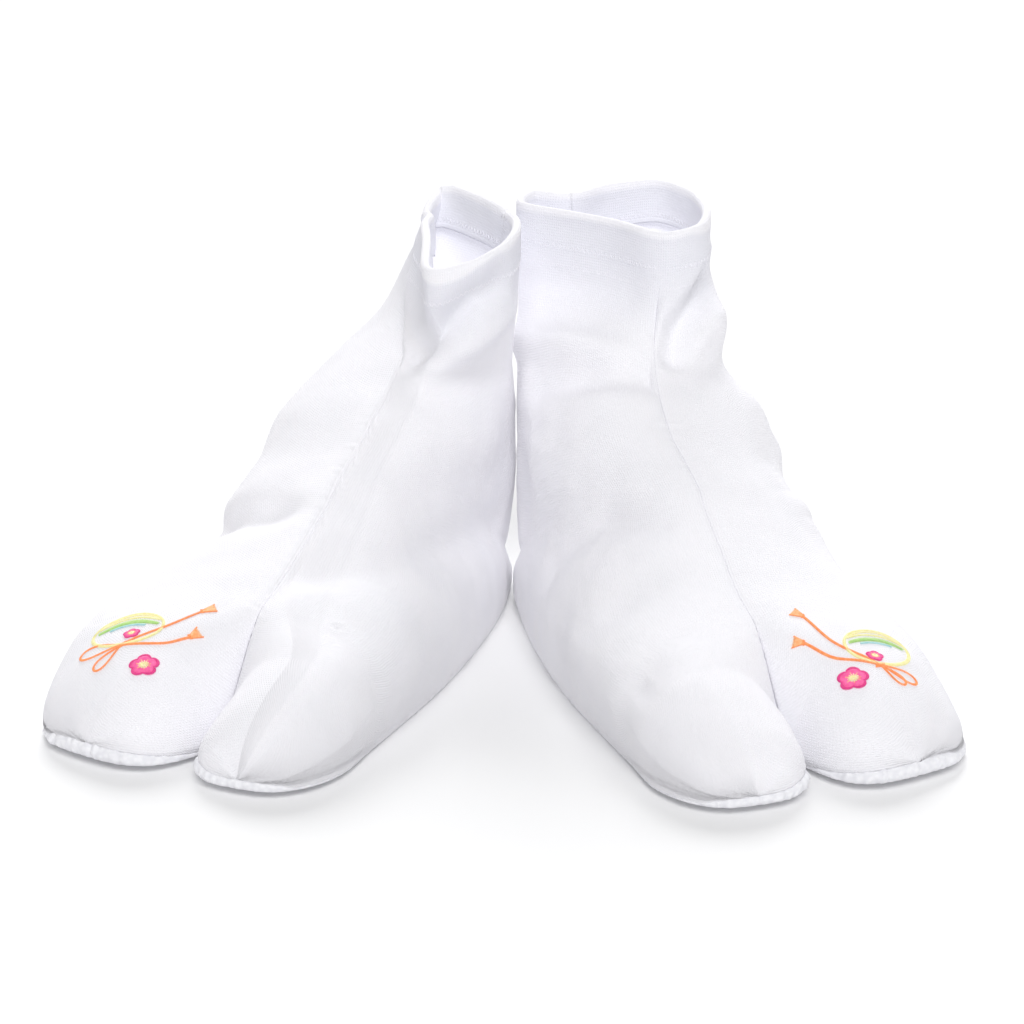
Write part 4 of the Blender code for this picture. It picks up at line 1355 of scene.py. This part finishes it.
    def draw_tail(self, corners: Array) -> None:
        """A cord from the knot, with a bound neck and a tassel that fans out.

        Args: corners: plane points from the knot to the neck, and the tassel's end.
        """
        share = run_length(corners[:-1], 0) / run_length(corners[:-1], 0)[-1]
        fine = np.linspace(0, 1, 30)
        cord = np.stack([through(share, corners[:-1, i], fine) for i in (0, 1)], -1)
        self.line(Dye.ORANGE, cord, width=1.15)
        neck, end = corners[-2:]
        out = end - neck
        beside = np.array([-out[1], out[0]]) / np.linalg.norm(out)
        fan = np.linspace(-1, 1, 9)[:, None]
        self.stitch(Dye.APRICOT, neck + 0.4 * fan * beside, end + 1.9 * fan * beside, rise=0.35)
        self.line(Dye.ORANGE, np.array([neck - beside, neck + beside]), width=0.9)
        for edge in (-1, 1):
            hem = np.array([neck + 0.5 * edge * beside, end + 2.1 * edge * beside])
            self.line(Dye.ORANGE, hem, width=0.5)

    def build(self, name: str, dyes: dict[Dye, bpy.types.Material]) -> None:
        """Stitch the motif: one mesh of threads for each dye.

        Args: name: of the sock. dyes: the finish of each dye.
        """
        self.draw()
        share = np.linspace(0, 1, self.POINTS)[:, None]
        for dye, groups in self.stitches.items():
            starts, ends, rises = (np.concatenate([group[i] for group in groups]) for i in range(3))
            spots = starts[:, None] * (1 - share) + ends[:, None] * share
            points, normals = self.land(spots.reshape(-1, 2))
            points, normals = (grid.reshape(*spots.shape[:2], 3) for grid in (points, normals))
            lift = self.ENDS + rises[:, None] * np.sin(share[:, 0] * math.pi) ** self.ARCH
            threads = strands(points + lift[..., None] * normals, normals, self.THREAD)
            threads.put(f"{name}.embroidery_{dye.name.lower()}", dyes[dye], weld=False)


# ---------------------------------------------------------------- the studio


@dataclass(frozen=True)
class Softbox:
    """A large, far lamp: which way it lies from the socks, its strength and its spread in degrees."""

    name: str
    towards: tuple[float, float, float]
    strength: float
    spread: float


@dataclass(frozen=True)
class Studio:
    """White floor, even white light and the camera. Lengths in metres.

    paper: share of the light that the floor gives back. sky, sky_strength: of the light
    from all around. aim, distance, elevation, lens: of the camera, the last two in
    degrees and millimetres.
    """

    floor_size: float = 12.0
    paper: float = 0.97
    sky: tuple[float, float, float, float] = (0.98, 0.98, 1.0, 1.0)
    sky_strength: float = 0.34
    lamps: tuple[Softbox, ...] = (Softbox("high_softbox_behind", (0.0, 1.35, 1.0), 2.05, 30),
                                  Softbox("high_softbox_in_front", (0.10, -0.85, 1.0), 1.60, 36))
    aim: tuple[float, float, float] = (0.003496, -0.008088, 0.060)
    distance: float = 1.0
    elevation: float = 18.0
    lens: float = 104.1
    sensor: float = 36.0

    def build(self) -> None:
        """Make the floor, the lights and the camera."""
        bpy.context.scene.view_settings.view_transform = "Standard"
        self.lay_floor()
        self.hang_lamps()
        self.stand_camera()

    def show(self, name: str, data: bpy.types.ID) -> bpy.types.Object:
        """Put a mesh, a lamp or a camera into the scene.

        Args: name: of its object. data: what it shows.
        Returns: the object.
        """
        thing = bpy.data.objects.new(name, data)
        bpy.context.scene.collection.objects.link(thing)
        return thing

    def lay_floor(self) -> None:
        """A square of matt white paper under the socks."""
        half = self.floor_size / 2
        mesh = bpy.data.meshes.new("floor")
        mesh.from_pydata([(-half, -half, 0), (half, -half, 0), (half, half, 0), (-half, half, 0)],
                         [], [(0, 1, 2, 3)])
        material, tree, shader = blank_material("white_paper_sweep")
        fill_in(tree, shader, {"Base Color": (self.paper, self.paper, self.paper, 1.0),
                               "Roughness": 1.0, "Specular IOR Level": 0.0})
        mesh.materials.append(material)
        self.show("floor", mesh)

    def hang_lamps(self) -> None:
        """Light from all around, and the softboxes."""
        world = bpy.data.worlds.new("studio")
        world.use_nodes = True
        fill_in(world.node_tree, world.node_tree.nodes["Background"],
                {"Color": self.sky, "Strength": self.sky_strength})
        bpy.context.scene.world = world
        for lamp in self.lamps:
            data = bpy.data.lights.new(lamp.name, "SUN")
            data.energy, data.angle = lamp.strength, math.radians(lamp.spread)
            turned = Vector(lamp.towards).to_track_quat("Z", "Y").to_euler()
            self.show(lamp.name, data).rotation_euler = turned

    def stand_camera(self) -> None:
        """The camera in front of the toes, a little above them."""
        data = bpy.data.cameras.new("camera")
        data.lens, data.sensor_width = self.lens, self.sensor
        camera = self.show("camera", data)
        rise, aim = math.radians(self.elevation), Vector(self.aim)
        camera.location = aim + self.distance * Vector((0, -math.cos(rise), math.sin(rise)))
        camera.rotation_euler = (aim - camera.location).to_track_quat("-Z", "Y").to_euler()
        bpy.context.scene.camera = camera


def main() -> None:
    """Build both socks, piece by piece, and the studio."""
    logging.basicConfig(level=logging.INFO)
    knit, towelling = StretchKnit().build(), PebblySoleKnit().build()
    # the white sewing thread has a painted glow too
    white = Thread("white_polyester_sewing_thread", "#F4F3F8", "#ECEBF2", glow=0.08).build()
    dyes = {dye: dye.value.build() for dye in Dye}
    for sizes in (RIGHT, LEFT):
        sock = Sock(sizes)
        for side in Side:
            sock.build_panel(side, knit)
        sock.build_sole(towelling)
        sock.stitch_hem(white)
        Embroidery(sizes.motif, sock.panels[Side.FOUR]).build(sizes.name, dyes)
    Studio().build()


if __name__ == "__main__":
    main()
